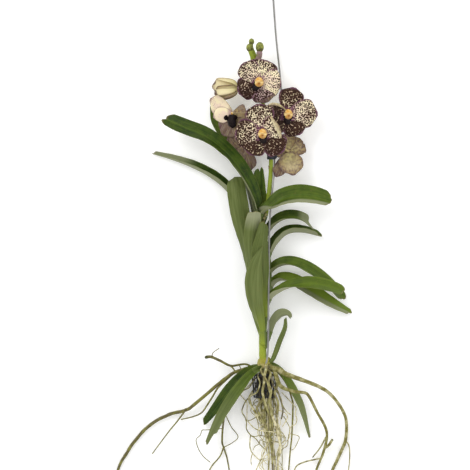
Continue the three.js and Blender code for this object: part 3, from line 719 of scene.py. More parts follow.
# ---- finishes
@dataclass(frozen=True)
class LeafFinish:
    """Waxy strap leaf: deep upper face, greyer back, pale keel and thin pale margin."""

    effects: Effects
    deep: str = "#20350c"
    bright: str = "#667a24"
    back_deep: str = "#4a5624"
    back_pale: str = "#7a8450"
    margin: str = "#747c34"
    keel: str = "#56702a"
    young: str = "#8a9a34"
    scar: str = "#7c6a3c"
    chalk: str = "#aeae92"

    def material(self) -> Material:
        """Makes the material; tint is brightness, tone how yellow the foot or, below 0, chalky the back is.

        Returns:
            The material.
        """
        w = Coat("leaf_blade", self.effects)
        across, along, reverse = w.form
        fine, broad, (blotch, speck) = w.streak(1.3, 70), w.streak(6, 110), w.mottle(24)
        from_keel = w.maths("ABSOLUTE", across)
        grain = w.plus(w.plus(w.times(fine, 0.16), w.times(broad, 0.2)), w.times(blotch, 0.2))
        upper = w.blend(w.plus(w.minus(w.tint, 0.26), grain, clamp=True), self.deep, self.bright)
        upper = w.blend(w.times(w.band(from_keel, 0.07, 0.01), 0.45), upper, self.keel)
        back_share = w.plus(w.times(fine, 0.35), w.times(broad, 0.45))
        back_share = w.times(back_share, w.band(w.tint, 0, 1, 0.45, 1.2), clamp=True)
        lower = w.blend(back_share, self.back_deep, self.back_pale)
        lower = w.blend(w.times(w.tone, -1, clamp=True), lower, self.chalk)
        colour = w.blend(reverse, upper, lower)
        colour = w.blend(w.times(w.band(along, 0.34, 0), w.tone, clamp=True), colour, self.young)
        colour = w.blend(w.times(w.band(from_keel, 0.93, 1), 0.55), colour, self.margin)
        colour = w.blend(w.times(speck, 0.16), colour, self.scar)
        colour = w.blend(w.times(w.band(along, 0.975, 1), 0.5), colour, self.scar)
        rough = w.band(w.plus(blotch, reverse), 0, 2, 0.36, 0.6)
        return w.finished(colour, rough, w.relief(w.plus(w.times(fine, 0.5), broad), 0.35, 0.6), 0.14)


@dataclass(frozen=True)
class StemFinish:
    """Leaf sheaths and stem: dark green at the top, yellow-green low down, olive brown at the crown."""

    effects: Effects
    sheath: str = "#45551f"
    sheath_light: str = "#7a8a4c"
    low: str = "#94a22e"
    crown: str = "#9c962f"
    bark: str = "#5e4c30"
    scale: str = "#c4b684"

    def material(self) -> Material:
        """Makes the material; tone is how near the crown a point is, lowered on the stem's right side as
        painted shade, tint is how barky it is.

        Returns:
            The material.
        """
        w = Coat("stem_and_sheaths", self.effects)
        fine, (blotch, speck) = w.streak(1.1, 46), w.mottle(9)
        green = w.blend(w.times(fine, 0.7), self.sheath, self.sheath_light)
        green = w.blend(w.band(w.tone, 0.2, 0.75), green, self.low)
        green = w.blend(w.band(w.tone, 0.75, 1), green, self.crown)
        bark = w.blend(blotch, self.bark, self.scale)
        colour = w.blend(w.times(w.tint, w.band(blotch, 0, 1, 0.55, 1)), green, bark)
        colour = w.blend(w.times(speck, 0.35), colour, self.bark)
        height = w.plus(fine, w.times(blotch, w.tint))
        return w.finished(colour, w.band(w.tint, 0, 1, 0.45, 0.8), w.relief(height, 0.5, 0.7), 0.25)


@dataclass(frozen=True)
class StalkFinish:
    """Flower stalk and buds: fresh green low down, pinkish grey at the top, speckled buds with painted shade
    at their feet.
    """

    effects: Effects
    low: str = "#8a9a2c"
    high: str = "#93797a"
    bud: str = "#8b9140"
    blush: str = "#4e4c26"
    bract: str = "#94804c"

    def material(self) -> Material:
        """Makes the material; tone is height up the stalk, tint is how much it is a bud.

        Returns:
            The material.
        """
        w = Coat("flower_stalk", self.effects)
        fine, (blotch, _) = w.streak(1, 30), w.mottle(5)
        rise = w.plus(w.tone, w.times(w.minus(blotch, 0.5), 0.4))
        stalk = w.blend(w.band(rise, 0.6, 1.1), self.low, self.high)
        # dark olive blotches on the buds, plus painted shade that darkens each bud's foot
        shade = w.plus(w.band(blotch, 0.4, 1, 0, 0.7), w.band(w.form[1], 0.5, 0.1, 0, 0.8), clamp=True)
        bud = w.blend(shade, self.bud, self.blush)
        colour = w.blend(w.band(w.tint, 0.4, 0.6), stalk, bud)
        colour = w.blend(w.band(w.tint, 0.9, 1), colour, self.bract)
        colour = w.blend(w.times(fine, 0.22), colour, self.blush)
        normal = w.relief(w.plus(fine, blotch), 0.25, 0.6)
        return w.finished(colour, w.band(fine, 0, 1, 0.42, 0.58), normal, 0.25)


@dataclass(frozen=True)
class TepalFinish:
    """Sepals and petals: cream with brown-purple spots that merge into a net, paler backs."""

    effects: Effects
    cream: str = "#efe2bb"
    blush: str = "#ead3bd"
    spot: str = "#1d100d"
    spot_warm: str = "#402a20"
    tan: str = "#b0916c"
    rim: str = "#5a4046"
    front_rim: str = "#714c5f"
    mauve: str = "#86607a"
    back: str = "#e6dbb0"
    lime: str = "#bdb955"
    back_olive: str = "#998258"
    back_brown: str = "#553c31"
    throat: str = "#7a4c66"
    cell: float = 3.1

    def material(self) -> Material:
        """Makes the material; tone is how far the spots have grown, tint how dark the back is.

        Returns:
            The material.
        """
        w = Coat("spotted_tepal", self.effects)
        across, along, reverse = w.form
        (blotch, _), (net, _), veins = w.mottle(13), w.mottle(5.5), w.streak(1.5, 26)
        growth = w.plus(w.tone, w.times(w.minus(blotch, 0.5), 0.26), clamp=True)
        spots = w.effect(self.effects.spots, {"Place": w.place, "Growth": growth, "Cell": self.cell})
        edge_share = w.maths("MAXIMUM", w.maths("ABSOLUTE", across), w.band(along, 0.62, 1))
        ground = w.blend(blotch, self.cream, self.blush)
        ground = w.blend(w.band(growth, 0.55, 1.1, 0, 0.6), ground, self.tan)
        ground = w.blend(w.band(w.tint, 0.7, 1, 0, 0.8), ground, self.mauve)
        front = w.blend(spots["Spot"], ground, w.blend(veins, self.spot, self.spot_warm))
        halo = w.times(w.times(spots["Soft"], growth), 0.22)
        front = w.blend(halo, front, self.spot_warm)
        front = w.blend(w.band(edge_share, 0.84, 1, 0, 0.72), front, self.front_rim)
        front = w.blend(w.times(w.band(along, 0.3, 0.12), 0.55), front, self.throat)
        back = w.blend(w.band(w.tint, 0.1, 0.6), self.back, self.back_olive)
        back = w.blend(w.band(w.tint, 0.5, 1), back, self.back_brown)
        fresh = w.times(w.band(along, 0.75, 0.1), w.band(w.tint, 0.7, 0.3, 0, 0.42))
        back = w.blend(fresh, back, self.lime)
        net_share = w.times(w.times(net, growth), w.band(w.tint, 0.1, 0.6, 0.06, 1.25))
        back = w.blend(net_share, back, self.rim)
        back = w.blend(w.times(veins, 0.2), back, self.back)
        rim = w.times(w.band(edge_share, 0.86, 1.03), 0.6)
        back = w.blend(w.times(rim, w.band(w.tint, 0, 0.5, 0, 0.9)), back, self.rim)
        normal = w.relief(w.plus(veins, w.times(spots["Soft"], 0.5)), 0.3, 0.6)
        return w.finished(w.blend(reverse, front, back), w.band(spots["Soft"], 0, 1, 0.6, 0.46), normal, 0.08)


@dataclass(frozen=True)
class ColumnFinish:
    """Golden column: paler cap, with orange-brown painted shade in its throat, groove and foot."""

    effects: Effects
    gold: str = "#d59c3c"
    pale: str = "#ecd596"
    throat: str = "#85490f"

    def material(self) -> Material:
        """Makes the material; tone is painted shade: how deep in the throat or groove, or how near the foot,
        a point is.

        Returns:
            The material.
        """
        w = Coat("golden_column", self.effects)
        blotch, speck = w.mottle(6)
        # painted shade: tone darkens the throat, groove and foot, with real specks added
        deep = w.plus(w.tone, w.times(speck, 0.25), clamp=True)
        colour = w.blend(deep, w.blend(blotch, self.gold, self.pale), self.throat)
        return w.finished(colour, w.band(blotch, 0, 1, 0.38, 0.5), w.relief(blotch, 0.3, 0.5), 0.3)


@dataclass(frozen=True)
class LipFinish:
    """Velvety lip: nearly black purple with paler ridges."""

    effects: Effects
    dark: str = "#070406"
    plum: str = "#1b0e14"
    ridge: str = "#352c26"

    def material(self) -> Material:
        """Makes the material; tone is how high on a ridge a point is.

        Returns:
            The material.
        """
        w = Coat("dark_lip", self.effects)
        fine = w.streak(0.9, 7)
        colour = w.blend(w.times(w.tone, 0.5), w.blend(fine, self.dark, self.plum), self.ridge)
        return w.finished(colour, w.band(fine, 0, 1, 0.35, 0.55), w.relief(fine, 0.3, 0.6), 0.12)


@dataclass(frozen=True)
class RootFinish:
    """Aerial root: olive velamen with silver patches, brown flecks and a green growing tip."""

    effects: Effects
    name: str
    dark: str
    olive: str
    silver: str
    brown: str
    growing: str = "#3c4426"

    def material(self) -> Material:
        """Makes the material; tint moves the root towards silver, tone towards its green tip.

        Returns:
            The material.
        """
        w = Coat(self.name, self.effects)
        (patch, _), (grain, _), line = w.mottle(11), w.mottle(3.2), w.streak(0.9, 12)
        share = w.plus(w.times(patch, 0.5), w.minus(w.tint, 0.25))
        colour = w.blend(w.band(share, 0, 0.5), self.dark, self.olive)
        colour = w.blend(w.band(share, 0.45, 1), colour, self.silver)
        colour = w.blend(w.times(grain, w.band(patch, 0.7, 0.1, 0.1, 0.75)), colour, self.brown)
        colour = w.blend(w.times(line, 0.22), colour, self.silver)
        colour = w.blend(w.times(w.band(w.form[1], 0.9, 0.985), w.tone), colour, self.growing)
        normal = w.relief(w.plus(grain, w.times(line, 0.6)), 0.35, 0.8)
        return w.finished(colour, w.band(patch, 0, 1, 0.62, 0.86), normal, 0.2)


@dataclass(frozen=True)
class PlasticFinish:
    """Black moulded plastic with a fine grain and blotchy blue-grey patches."""

    effects: Effects
    name: str
    black: str
    blue_grey: str
    roughness: float = 0.34

    def material(self) -> Material:
        """Makes the material.

        Returns:
            The material.
        """
        w = Coat(self.name, self.effects)
        blotch, speck = w.mottle(7)
        colour = w.blend(w.times(blotch, 0.6), self.black, self.blue_grey)
        rough = w.band(blotch, 0, 1, self.roughness, self.roughness + 0.22)
        return w.finished(colour, rough, w.relief(speck, 0.1, 0.5))


@dataclass(frozen=True)
class SteelFinish:
    """Drawn steel wire: grey, with fine lines along it and dull patches."""

    effects: Effects
    steel: str = "#8e8d8b"
    dull: str = "#6b6a66"

    def material(self) -> Material:
        """Makes the material.

        Returns:
            The material.
        """
        w = Coat("drawn_steel", self.effects)
        line, (blotch, _) = w.streak(0.35, 26), w.mottle(22)
        w.feed(w.shader, {"Metallic": w.band(blotch, 0, 1, 0.5, 0.25)})
        colour = w.blend(w.times(blotch, 0.7), self.steel, self.dull)
        return w.finished(colour, w.band(line, 0, 1, 0.3, 0.48), w.relief(line, 0.05, 0.4))


@dataclass(frozen=True)
class FloorFinish:
    """Matt white light table with a hardly visible grain and a faint glow that softens shadows."""

    white: str = "#fafafa"
    shade: str = "#f6f6f6"
    glow: float = 0.16

    def material(self) -> Material:
        """Makes the material.

        Returns:
            The material.
        """
        w = Coat("pale_floor")
        grain = w.noise(w.node("ShaderNodeTexCoord", {}).outputs["Object"], 18.0, 3.0)[0]
        w.feed(w.shader, {"Emission Color": self.white, "Emission Strength": self.glow})
        return w.finished(w.blend(grain, self.white, self.shade), w.band(grain, 0.3, 0.7, 0.8, 0.9))


# ---- pieces
@dataclass(frozen=True)
class Bench:
    """What pieces are made with: the layout's place in the frame, and the shared effects.

    shift is the move that brings the middle of the basket's rim flat to the origin.
    """

    shift: Triple
    effects: Effects

    def to_frame(self, points: Array) -> Array:
        """Gives metres in the part's frame for millimetres of the layout."""
        return (points + np.array(self.shift)) * MM

    def piece(
        self,
        name: str,
        patches: list[Patch],
        materials: list[Material],
        slot: str,
        nodes: Sequence[str],
    ) -> None:
        """Makes one piece of the plant, riding on the part's body.

        Args:
            name: Name of the piece.
            patches: Its closed surfaces.
            materials: Its finishes, in the order of the patches' slots.
            slot: Not used.
            nodes: The nodes that it stands for.
        """
        offset = 0
        faces: list[list[int]] = []
        slots: list[int] = []
        for patch in patches:
            for block in patch.faces:
                faces.extend((block + offset).tolist())
                slots.extend([patch.slot] * len(block))
            offset += len(patch.points)
        mesh = bpy.data.meshes.new(name)
        mesh.from_pydata(self.to_frame(np.vstack([patch.points for patch in patches])).tolist(), [], faces)
        mesh.polygons.foreach_set("use_smooth", [True] * len(faces))
        mesh.polygons.foreach_set("material_index", slots)
        kinds = {"place": "FLOAT_VECTOR", "form": "FLOAT_VECTOR", "tone": "FLOAT", "tint": "FLOAT"}
        for label, kind in kinds.items():
            values = np.concatenate([getattr(patch, label) for patch in patches]).astype(np.float32)
            layer = mesh.attributes.new(label, kind, "POINT")
            layer.data.foreach_set("value" if kind == "FLOAT" else "vector", values.reshape(-1))
        work = bmesh.new()
        work.from_mesh(mesh)
        bmesh.ops.recalc_face_normals(work, faces=work.faces)
        work.to_mesh(mesh)
        work.free()
        for material in materials:
            mesh.materials.append(material)
        piece = bpy.data.objects.new(name, mesh)
        bpy.context.scene.collection.objects.link(piece)
        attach(piece, BODY)
        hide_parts(*nodes)
        LOG.info("%s: %d faces for %s", name, len(faces), ", ".join(nodes))


class Assembly:
    """A part of the plant that makes its own pieces."""

    def build(self, bench: Bench) -> None:
        """Makes the pieces.

        Args:
            bench: What they are made with.
        """
        raise NotImplementedError


# ---- leaves
@dataclass(frozen=True)
class Leaf:
    """One strap leaf in two ranks, folded along its keel.

    path rows are x, y, z of the keel and the roll about it in degrees: row 0 is inside the stem
    and row 1 is the joint between sheath and blade. fold is each half's angle at base and tip.
    lobes and notch shape the bitten tip, as shares of the length. dull is how much the outer part
    of the upper face looks like the greyer reverse. pale does the same from the share pale_from to
    one margin, right of the keel or, below 0, left of it, over pale_span of its length, and
    pale_foot widens it at the joint. A young below 0 is a chalky reverse, from the share chalk_from
    of the length on. fore is a second fold of the blade, in front of it.
    """

    name: str
    width: float
    fold: tuple[float, float]
    lobes: tuple[float, float]
    notch: float
    path: Rows
    tint: float = 0.3
    young: float = 0.25
    wave: float = 0.9
    taper: float = 0.0
    dull: float = 0.0
    pale: float = 0.0
    pale_from: float = 0.1
    pale_foot: float = 0.0
    pale_span: tuple[float, float] = (0.0, 1.2)
    chalk_from: float = 0.0
    fore: "Leaf | None" = None

    edge: float = 1.0
    keel: float = 1.9
    keel_ridge: float = 0.7
    keel_softness: float = 0.07
    wave_length: float = 17
    columns: int = 19

    def joint(self) -> float:
        """Gives the place of the joint along the path."""
        return 1 / (len(self.path) - 1)

    def width_share(self, t: Array) -> Array:
        """Gives the share of the full width at t.

        Args:
            t: Places along the path.

        Returns:
            Shares from 0 to 1.
        """
        swell = 0.45 + 0.55 * np.sin(math.pi / 2 * np.minimum(1, t / 0.55))
        narrow = 1 - 0.36 * np.maximum(0, (t - 0.55) / 0.45) ** 2.2
        return swell * narrow * (1 - self.taper * np.maximum(0, (t - 0.5) / 0.5) ** 1.6)

    def tip_cut(self, q: Array, seed: int) -> Array:
        """Shapes the tip: two ragged, rounded lobes and a notch.

        Args:
            q: Shares across, from -1 to 1.
            seed: Seed of the ragged edge.

        Returns:
            How far the blade stops short of the end of its path, as a share of it.
        """
        side = (np.tanh(q / 0.1) + 1) / 2
        lobe = mix(self.lobes[0], self.lobes[1], side)
        lobe = lobe + (min(self.lobes) + self.notch - lobe) * bell(q, 0.15)
        half = self.width / 2 * float(self.width_share(np.array(1.0)))
        rounded = half * (1 - np.sqrt(1 - 0.97 * q**2)) / length_of(self.path)
        ragged = 0.004 * ripple(q * 9, q * 0 + 1, seed)
        return np.maximum(0, 0.004 + lobe + rounded + ragged)

    def faces(self, t: Array, q: Array, extra: float, seed: int) -> tuple[Array, Array]:
        """Gives both faces of the blade.

        Args:
            t: Places along the path, a grid.
            q: Shares across, from -1 to 1, a grid.
            extra: How much thicker than the blade it is.
            seed: Seed of the waves along the margins.

        Returns:
            Points of the upper and of the lower face.
        """
        rows = smooth_rows(self.path, t)
        along = directions(self.path, t)
        flat_side = unit(np.cross(along, UP))
        flat_face = np.cross(flat_side, along)
        roll = np.radians(rows[..., 3])[..., None]
        face = flat_face * np.cos(roll) + flat_side * np.sin(roll)
        side = flat_side * np.cos(roll) - flat_face * np.sin(roll)
        fold = np.radians(mix(self.fold[1], self.fold[0], (1 - t) ** 1.5))
        reach = self.width / 2 * self.width_share(t)
        rise = np.sqrt(q**2 + self.keel_softness**2) - self.keel_softness
        hand = np.tanh(q / self.keel_softness)
        point = rows[..., :3] + side * (q * reach * np.cos(fold))[..., None]
        point = point + face * (rise * reach * np.sin(fold))[..., None]
        lean = (fold * np.abs(hand))[..., None]
        normal = unit(face * np.cos(lean) - side * hand[..., None] * np.sin(lean))
        run = t * length_of(self.path)
        wave = self.wave * q**2 * ripple(q * 2.2, run / self.wave_length, seed)
        thick = mix(self.keel, self.edge, np.abs(q)) + extra + self.keel_ridge * bell(q, 0.06)
        profile = np.sqrt(np.maximum(0, 1 - np.abs(q) ** 14))
        middle = point + normal * (wave - thick / 2)[..., None]
        half = normal * (thick / 2 * profile)[..., None]
        return middle + half, middle - half

    def pale_share(self, form: Array) -> Array:
        """Gives how much each point looks like the greyer reverse.

        Args:
            form: Share across, share along, and 1 on the reverse.

        Returns:
            Shares from 0 to 1.
        """
        outward, far, reverse = np.copysign(1, self.pale) * form[:, 0], form[:, 1], form[:, 2]
        first, last = self.pale_span
        inner = self.pale_from - self.pale_foot * np.clip(1 - far / 0.3, 0, 1)
        band = abs(self.pale) * np.clip((outward - inner) / 0.1, 0, 1)
        band = band * np.clip((far - first) / 0.12, 0, 1) * np.clip((last - far) / 0.15, 0, 1)
        return np.maximum(reverse, np.maximum(band, self.dull * np.sin(far * 1.5) ** 2))

    def patch(self, start: float, end: float, extra: float, seed: int, steps: int) -> Patch:
        """Makes a stretch of the leaf.

        Args:
            start: Where it starts on the path, from 0 to 1.
            end: Where it ends; at 1 it gets the leaf's tip.
            extra: How much thicker than the blade it is.
            seed: Seed of its waves and of the finish.
            steps: Rows of points along it.

        Returns:
            The stretch, open to the stem.
        """
        s, q = blade_grid(np.linspace(0, 1, steps) ** 0.9, self.columns)
        t = mix(start, end, s)
        if end == 1:
            t = np.minimum(1, t - self.tip_cut(q, seed) * s**7)
        upper, lower = self.faces(t, q, extra, seed)
        if end == 1:
            close = np.sqrt(np.maximum(0, 1 - s**50))[..., None]
            middle = (upper + lower) / 2
            upper, lower = middle + (upper - middle) * close, middle + (lower - middle) * close
        place = stacked(q * self.width / 2, t * length_of(self.path), seed * 31.0)
        tone = self.young * np.clip(1 + (s - self.chalk_from) / 0.3, 0, 1)
        blade = two_faced(upper, lower, place, stacked(q, s), tone, self.tint, open_start=True)
        blade.form[:, 2] = self.pale_share(blade.form)
        return blade


LEAVES = (
    Leaf("leaf_left_long", 43, (42, 12), (0, 0.02), 0.018, (
        (-20, 262, 42, 82), (-20, 306, 50, 64), (-31, 346, 56, 50), (-53, 386, 61, 48),
        (-81, 421, 65, 50), (-120, 452, 66, 42), (-166, 472, 62, 27), (-210, 492, 54, 18)),
        tint=0.12, young=-0.4, pale=-1, pale_from=0.5, pale_span=(0, 0.4)),
    Leaf("leaf_left_narrow", 38, (58, 36), (0, 0.01), 0, (
        (-16, 206, 34, 88), (-34, 256, 28, 84), (-56, 310, 22, 78), (-80, 346, 20, 70),
        (-114, 374, 22, 68), (-154, 395, 22, 66), (-194, 410, 15, 60), (-231, 421, 1.55, 46)),
        tint=0.12, young=-0.35, taper=0.6, pale=0.9, pale_from=-2, pale_span=(0.62, 2)),
    Leaf("leaf_left_broad", 42, (60, 8), (0, 0.02), 0, (
        (-12, 52, 33, 95), (-30, 112, 35, 100), (-36, 176, 42, 134), (-41, 236, 48, 158),
        (-54, 294, 50, 168), (-60, 334, 50, 173), (-63, 360, 44, 175), (-65, 372, 28, 175)), tint=0.3),
    Leaf("leaf_left_behind", 30, (55, 14), (0.02, 0), 0.01, (
        (-18, 236, 34, 85), (-28, 300, 24, 78), (-44, 362, 13, 60), (-72, 428, 10, 50),
        (-102, 480, 9, 40), (-106, 522, 2.1, 24)),
        tint=0.55, young=-0.5, pale=-0.95, pale_from=-2, pale_span=(0, 0.6)),
    Leaf("leaf_left_young", 30, (50, 24), (0.03, 0), 0.09, (
        (-16, 272, 39, 60), (-14.5, 314, 35.5, 40), (-16, 352, 37, 5), (-14, 394, 38, -25)),
        tint=0.25, taper=0.1),
    Leaf("leaf_front_curled", 36, (60, 14), (0, 0.02), 0, (
        (-12, 90, 46, 120), (-18, 148, 62, 150), (-29, 210, 66, 170), (-30, 256, 68, 178),
        (-27, 284, 70, 186), (-24, 304, 77, 190)), tint=0.4, young=-0.5, chalk_from=0.85),
    Leaf("leaf_front_slender", 38, (48, 16), (0.02, 0), 0, (
        (-10, 36, 44, 110), (-12, 90, 56, 140), (-14, 146, 68, 160), (-14, 190, 75, 172),
        (-13, 226, 78, 190), (-9, 254, 77, 200), (-6, 284, 72, 200)), tint=0.12, young=0.7, taper=0.35,
        fore=Leaf("leaf_front_slender", 38, (34, 10), (0, 0), 0, (
            (-11, 60, 49, 125), (-17, 88, 61, 150), (-25, 120, 74, 162), (-27, 156, 82, 172),
            (-25, 186, 86, 180), (-18, 212, 86, 186), (-9, 233, 81, 190)),
            tint=0.52, young=0.6, taper=0.93)),
    Leaf("leaf_right_bright", 42, (58, 10), (0.01, 0), 0, (
        (-12, 266, 44, -90), (-8, 299, 56, -72), (10, 313, 61, -48), (32, 329, 63, -30),
        (62, 337, 60, -20), (96, 335, 55, -15), (131, 326, 46, -12)),
        tint=0.36, young=-0.4, pale=1, pale_from=0.55, pale_foot=1.7, pale_span=(-0.2, 1.1)),
    Leaf("leaf_right_second", 38, (52, 24), (0.12, 0), 0, (
        (-8, 236, 40, -90), (5, 266, 42, -72), (26, 285, 43, -60), (50, 291, 42, -55),
        (74, 286, 36, -56), (95, 268, 24, -62)),
        tint=0.26, young=-0.35, taper=0.1, pale=0.8, pale_from=-2, pale_span=(0.6, 2)),
    Leaf("leaf_right_third", 38, (54, 42), (0, 0.05), 0, (
        (-7, 186, 38, -90), (8, 220, 36, -64), (21, 242, 34, -67), (42, 260, 33, -72),
        (72, 263, 31, -76), (112, 254, 18, -80)), tint=0.25, young=-0.4, taper=0.1),
    Leaf("leaf_right_fourth", 38, (60, 18), (0, 0.03), 0.015, (
        (-6, 134, 38, -90), (4, 174, 40, -74), (20, 192, 41, -62), (44, 198, 41, -56),
        (74, 190, 38, -52), (104, 172, 32, -50), (132, 149, 24, -50), (158, 124, 12, -45)),
        tint=0.42, young=-0.3),
    Leaf("leaf_right_fifth", 36, (60, 14), (0, 0.02), 0.02, (
        (-5, 92, 44, -90), (7, 128, 52, -84), (28, 145, 60, -74), (52, 154, 64, -60),
        (86, 158, 64, -44), (122, 153, 58, -40), (158, 142, 46, -36)), tint=0.62, young=-0.5),
    Leaf("leaf_right_low", 40, (60, 14), (0, 0.03), 0, (
        (-6, 112, 34, -90), (10, 152, 28.5, -80), (26, 166, 33, -66), (48, 163, 34, -52),
        (76, 149, 34, -42), (108, 131, 30, -40), (140, 114, 20, -42), (172, 98, 2.85, -44)),
        tint=1.0, young=-0.35, taper=0.45, pale=0.85, pale_from=-0.05),
    Leaf("leaf_right_curled", 26, (56, 26), (0, 0.03), 0, (
        (-3, 30, 38, -100), (9, 62, 43, -130), (17, 84, 47, -146), (29, 97, 49, -145),
        (42, 97, 47, -138), (48, 89, 42, -130)), tint=0.22, young=-0.25, taper=0.7),
    Leaf("leaf_right_small", 19, (60, 30), (0, 0.03), 0, (
        (3, -4, 36, -95), (16, 12, 38, -110), (28, 42, 42, -120), (38, 70, 44, -120),
        (37, 92, 40, -120)), tint=0.6, young=0.1, taper=0.4),
    Leaf("leaf_low_left_back", 28, (50, 14), (0, 0.015), 0, (
        (-9, -12, 30, 30), (-25, -13, 34, 32), (-47, -27, 38, 32), (-76, -57, 36, 30),
        (-102, -91, 26, 26), (-129, -124, 12, 22)), tint=0.14, taper=0.35),
    Leaf("leaf_low_left_front", 27, (55, 18), (0.09, 0), 0, (
        (-6, -9, 36, 20), (-26, -19, 56, 24), (-47, -42, 60, 26), (-72, -76, 57, 26),
        (-96, -115, 46, 24), (-120, -166, 26, 20)), tint=0.45, young=-0.1, taper=0.3, dull=1),
    Leaf("leaf_low_right", 24, (50, 22), (0, 0.03), 0, (
        (4, 0, 34, -40), (22, -14, 34, -40), (40, -38, 31, -40), (55, -64, 28, -42),
        (70, -95, 23, -44), (86, -153, 7, -46)), tint=0.95, young=-0.25, taper=0.5, dull=0.9),
)


@dataclass
class LeafFan(Assembly):
    """All the blades, each a piece of its own from its joint to its tip."""

    leaves: tuple[Leaf, ...] = LEAVES
    steps: int = 76

    def build(self, bench: Bench) -> None:
        """Makes every blade.

        Args:
            bench: What they are made with.
        """
        material = LeafFinish(bench.effects).material()
        for number, leaf in enumerate(self.leaves):
            start = leaf.joint() + SEAT_GAP / length_of(leaf.path)
            blades = [leaf.patch(start, 1, 0.0, number + 3, self.steps)]
            if leaf.fore is not None:
                blades.append(leaf.fore.patch(0, 1, 0.0, number + 40, self.steps))
            bench.piece(leaf.name + "_blade", blades, [material], "leaf", [leaf.name])


# ---- stem
@dataclass
class Stem(Assembly):
    """The stem with its sheaths, the stump of an old stalk and the knobbly crown."""

    path: Rows = (
        (-3, -14, 30), (-8, 12, 32), (-8, 66, 36), (-3, 126, 38), (0, 186, 40), (-6, 246, 42), (-14, 284, 43))
    radii: Sequence[float] = (8, 7.6, 7.6, 8.6, 9.4, 7, 4.5)
    old_stalk: Rows = ((-10, 276, 48), (-6, 288, 54), (-2, 297, 58))
    axil: Rows = ((-10, 258, 38), (-8.5, 276, 39.6), (-3.15, 293.1, 39.95))
    crown: Triple = (-4, -5, 29)
    crown_radii: Triple = (15, 19, 14)
    crown_knobs: int = 11
    knob_seed: int = 4
    knob_height: float = 0.13
    leafy_from: float = 13
    low_tone: float = 0.3
    lap: float = 1.4
    sheath_extra: float = 0.6
    sheath_steps: int = 22

    def tone_with_painted_shade(self, patch: Patch) -> Patch:
        """Colours a patch: yellower low down, darkened on its right by painted shade, barky below the crown.

        Args:
            patch: A patch of the stem.

        Returns:
            The patch with its values for the finish.
        """
        x, y = patch.points[:, 0], patch.points[:, 1]
        # painted shade: the right side of the stem above the crown is darkened by lowering its tone
        shade = 0.6 * np.clip((x + 6) / 8, 0, 1) * (y > 4)
        tone = np.maximum(0, np.clip((110 - y) / 118, 0, 1) - shade)
        return replace(patch, tone=tone, tint=np.clip(-y / 40, 0, 0.5))

    def crown_patch(self) -> Patch:
        """Makes the crown: an uneven lump with knobs of old root bases and torn sheaths.

        Returns:
            The crown.
        """
        random = np.random.default_rng(self.knob_seed)
        knobs = unit(random.normal(size=(self.crown_knobs, 3)))

        def swell(ball: Array) -> Array:
            """Moves a unit ball's points to the crown's.

            Args:
                ball: Points of the unit ball.

            Returns:
                Points in millimetres.
            """
            size = 1 + 0.05 * ripple(ball[:, 0] * 4, ball[:, 1] * 5 + ball[:, 2], 9)
            for knob in knobs:
                size = size + self.knob_height * bell(np.linalg.norm(ball - knob, axis=1), 0.27)
            return np.array(self.crown) + ball * np.array(self.crown_radii) * size[:, None]

        crown = shaped_globe(swell, 40, 30, tone=1.0, seed=2)
        return replace(crown, tint=np.clip((4 - crown.points[:, 1]) / 14, 0.12, 0.9))

    def sheath(self, leaf: Leaf, seed: int) -> Patch:
        """Makes the sheath of a leaf, with an even yellow-green for the lowest ones.

        Args:
            leaf: The leaf.
            seed: Seed of its waves and of the finish.

        Returns:
            The sheath, which laps the foot of the blade.
        """
        end = leaf.joint() + self.lap / length_of(leaf.path)
        patch = leaf.patch(0, end, self.sheath_extra, seed, self.sheath_steps)
        if leaf.path[1][1] < self.leafy_from:
            return replace(patch, tone=np.full(len(patch.points), self.low_tone), tint=patch.tint * 0)
        return self.tone_with_painted_shade(patch)

    def build(self, bench: Bench) -> None:
        """Makes the stem.

        Args:
            bench: What it is made with.
        """
        patches = [
            self.tone_with_painted_shade(round_limb(self.path, self.radii, sides=20, lump=0.03)),
            self.tone_with_painted_shade(round_limb(self.axil, (4, 4, 4.6), sides=16, domes=(0.7, 0.1))),
            round_limb(self.old_stalk, (2.6, 2.4, 2.7), sides=14, step=1.5, tint=0.9),
            self.crown_patch(),
            *(self.sheath(leaf, number + 3) for number, leaf in enumerate(LEAVES)),
        ]
        bench.piece("stem_with_sheaths", patches, [StemFinish(bench.effects).material()], "stem", ["stem"])


# ---- flower stalk
@dataclass(frozen=True)
class Bud:
    """One bud on its short stalk; flush is how pink the stalk is."""

    stalk: Rows
    stalk_radii: Sequence[float]
    centre: Triple
    radii: Triple
    flush: float


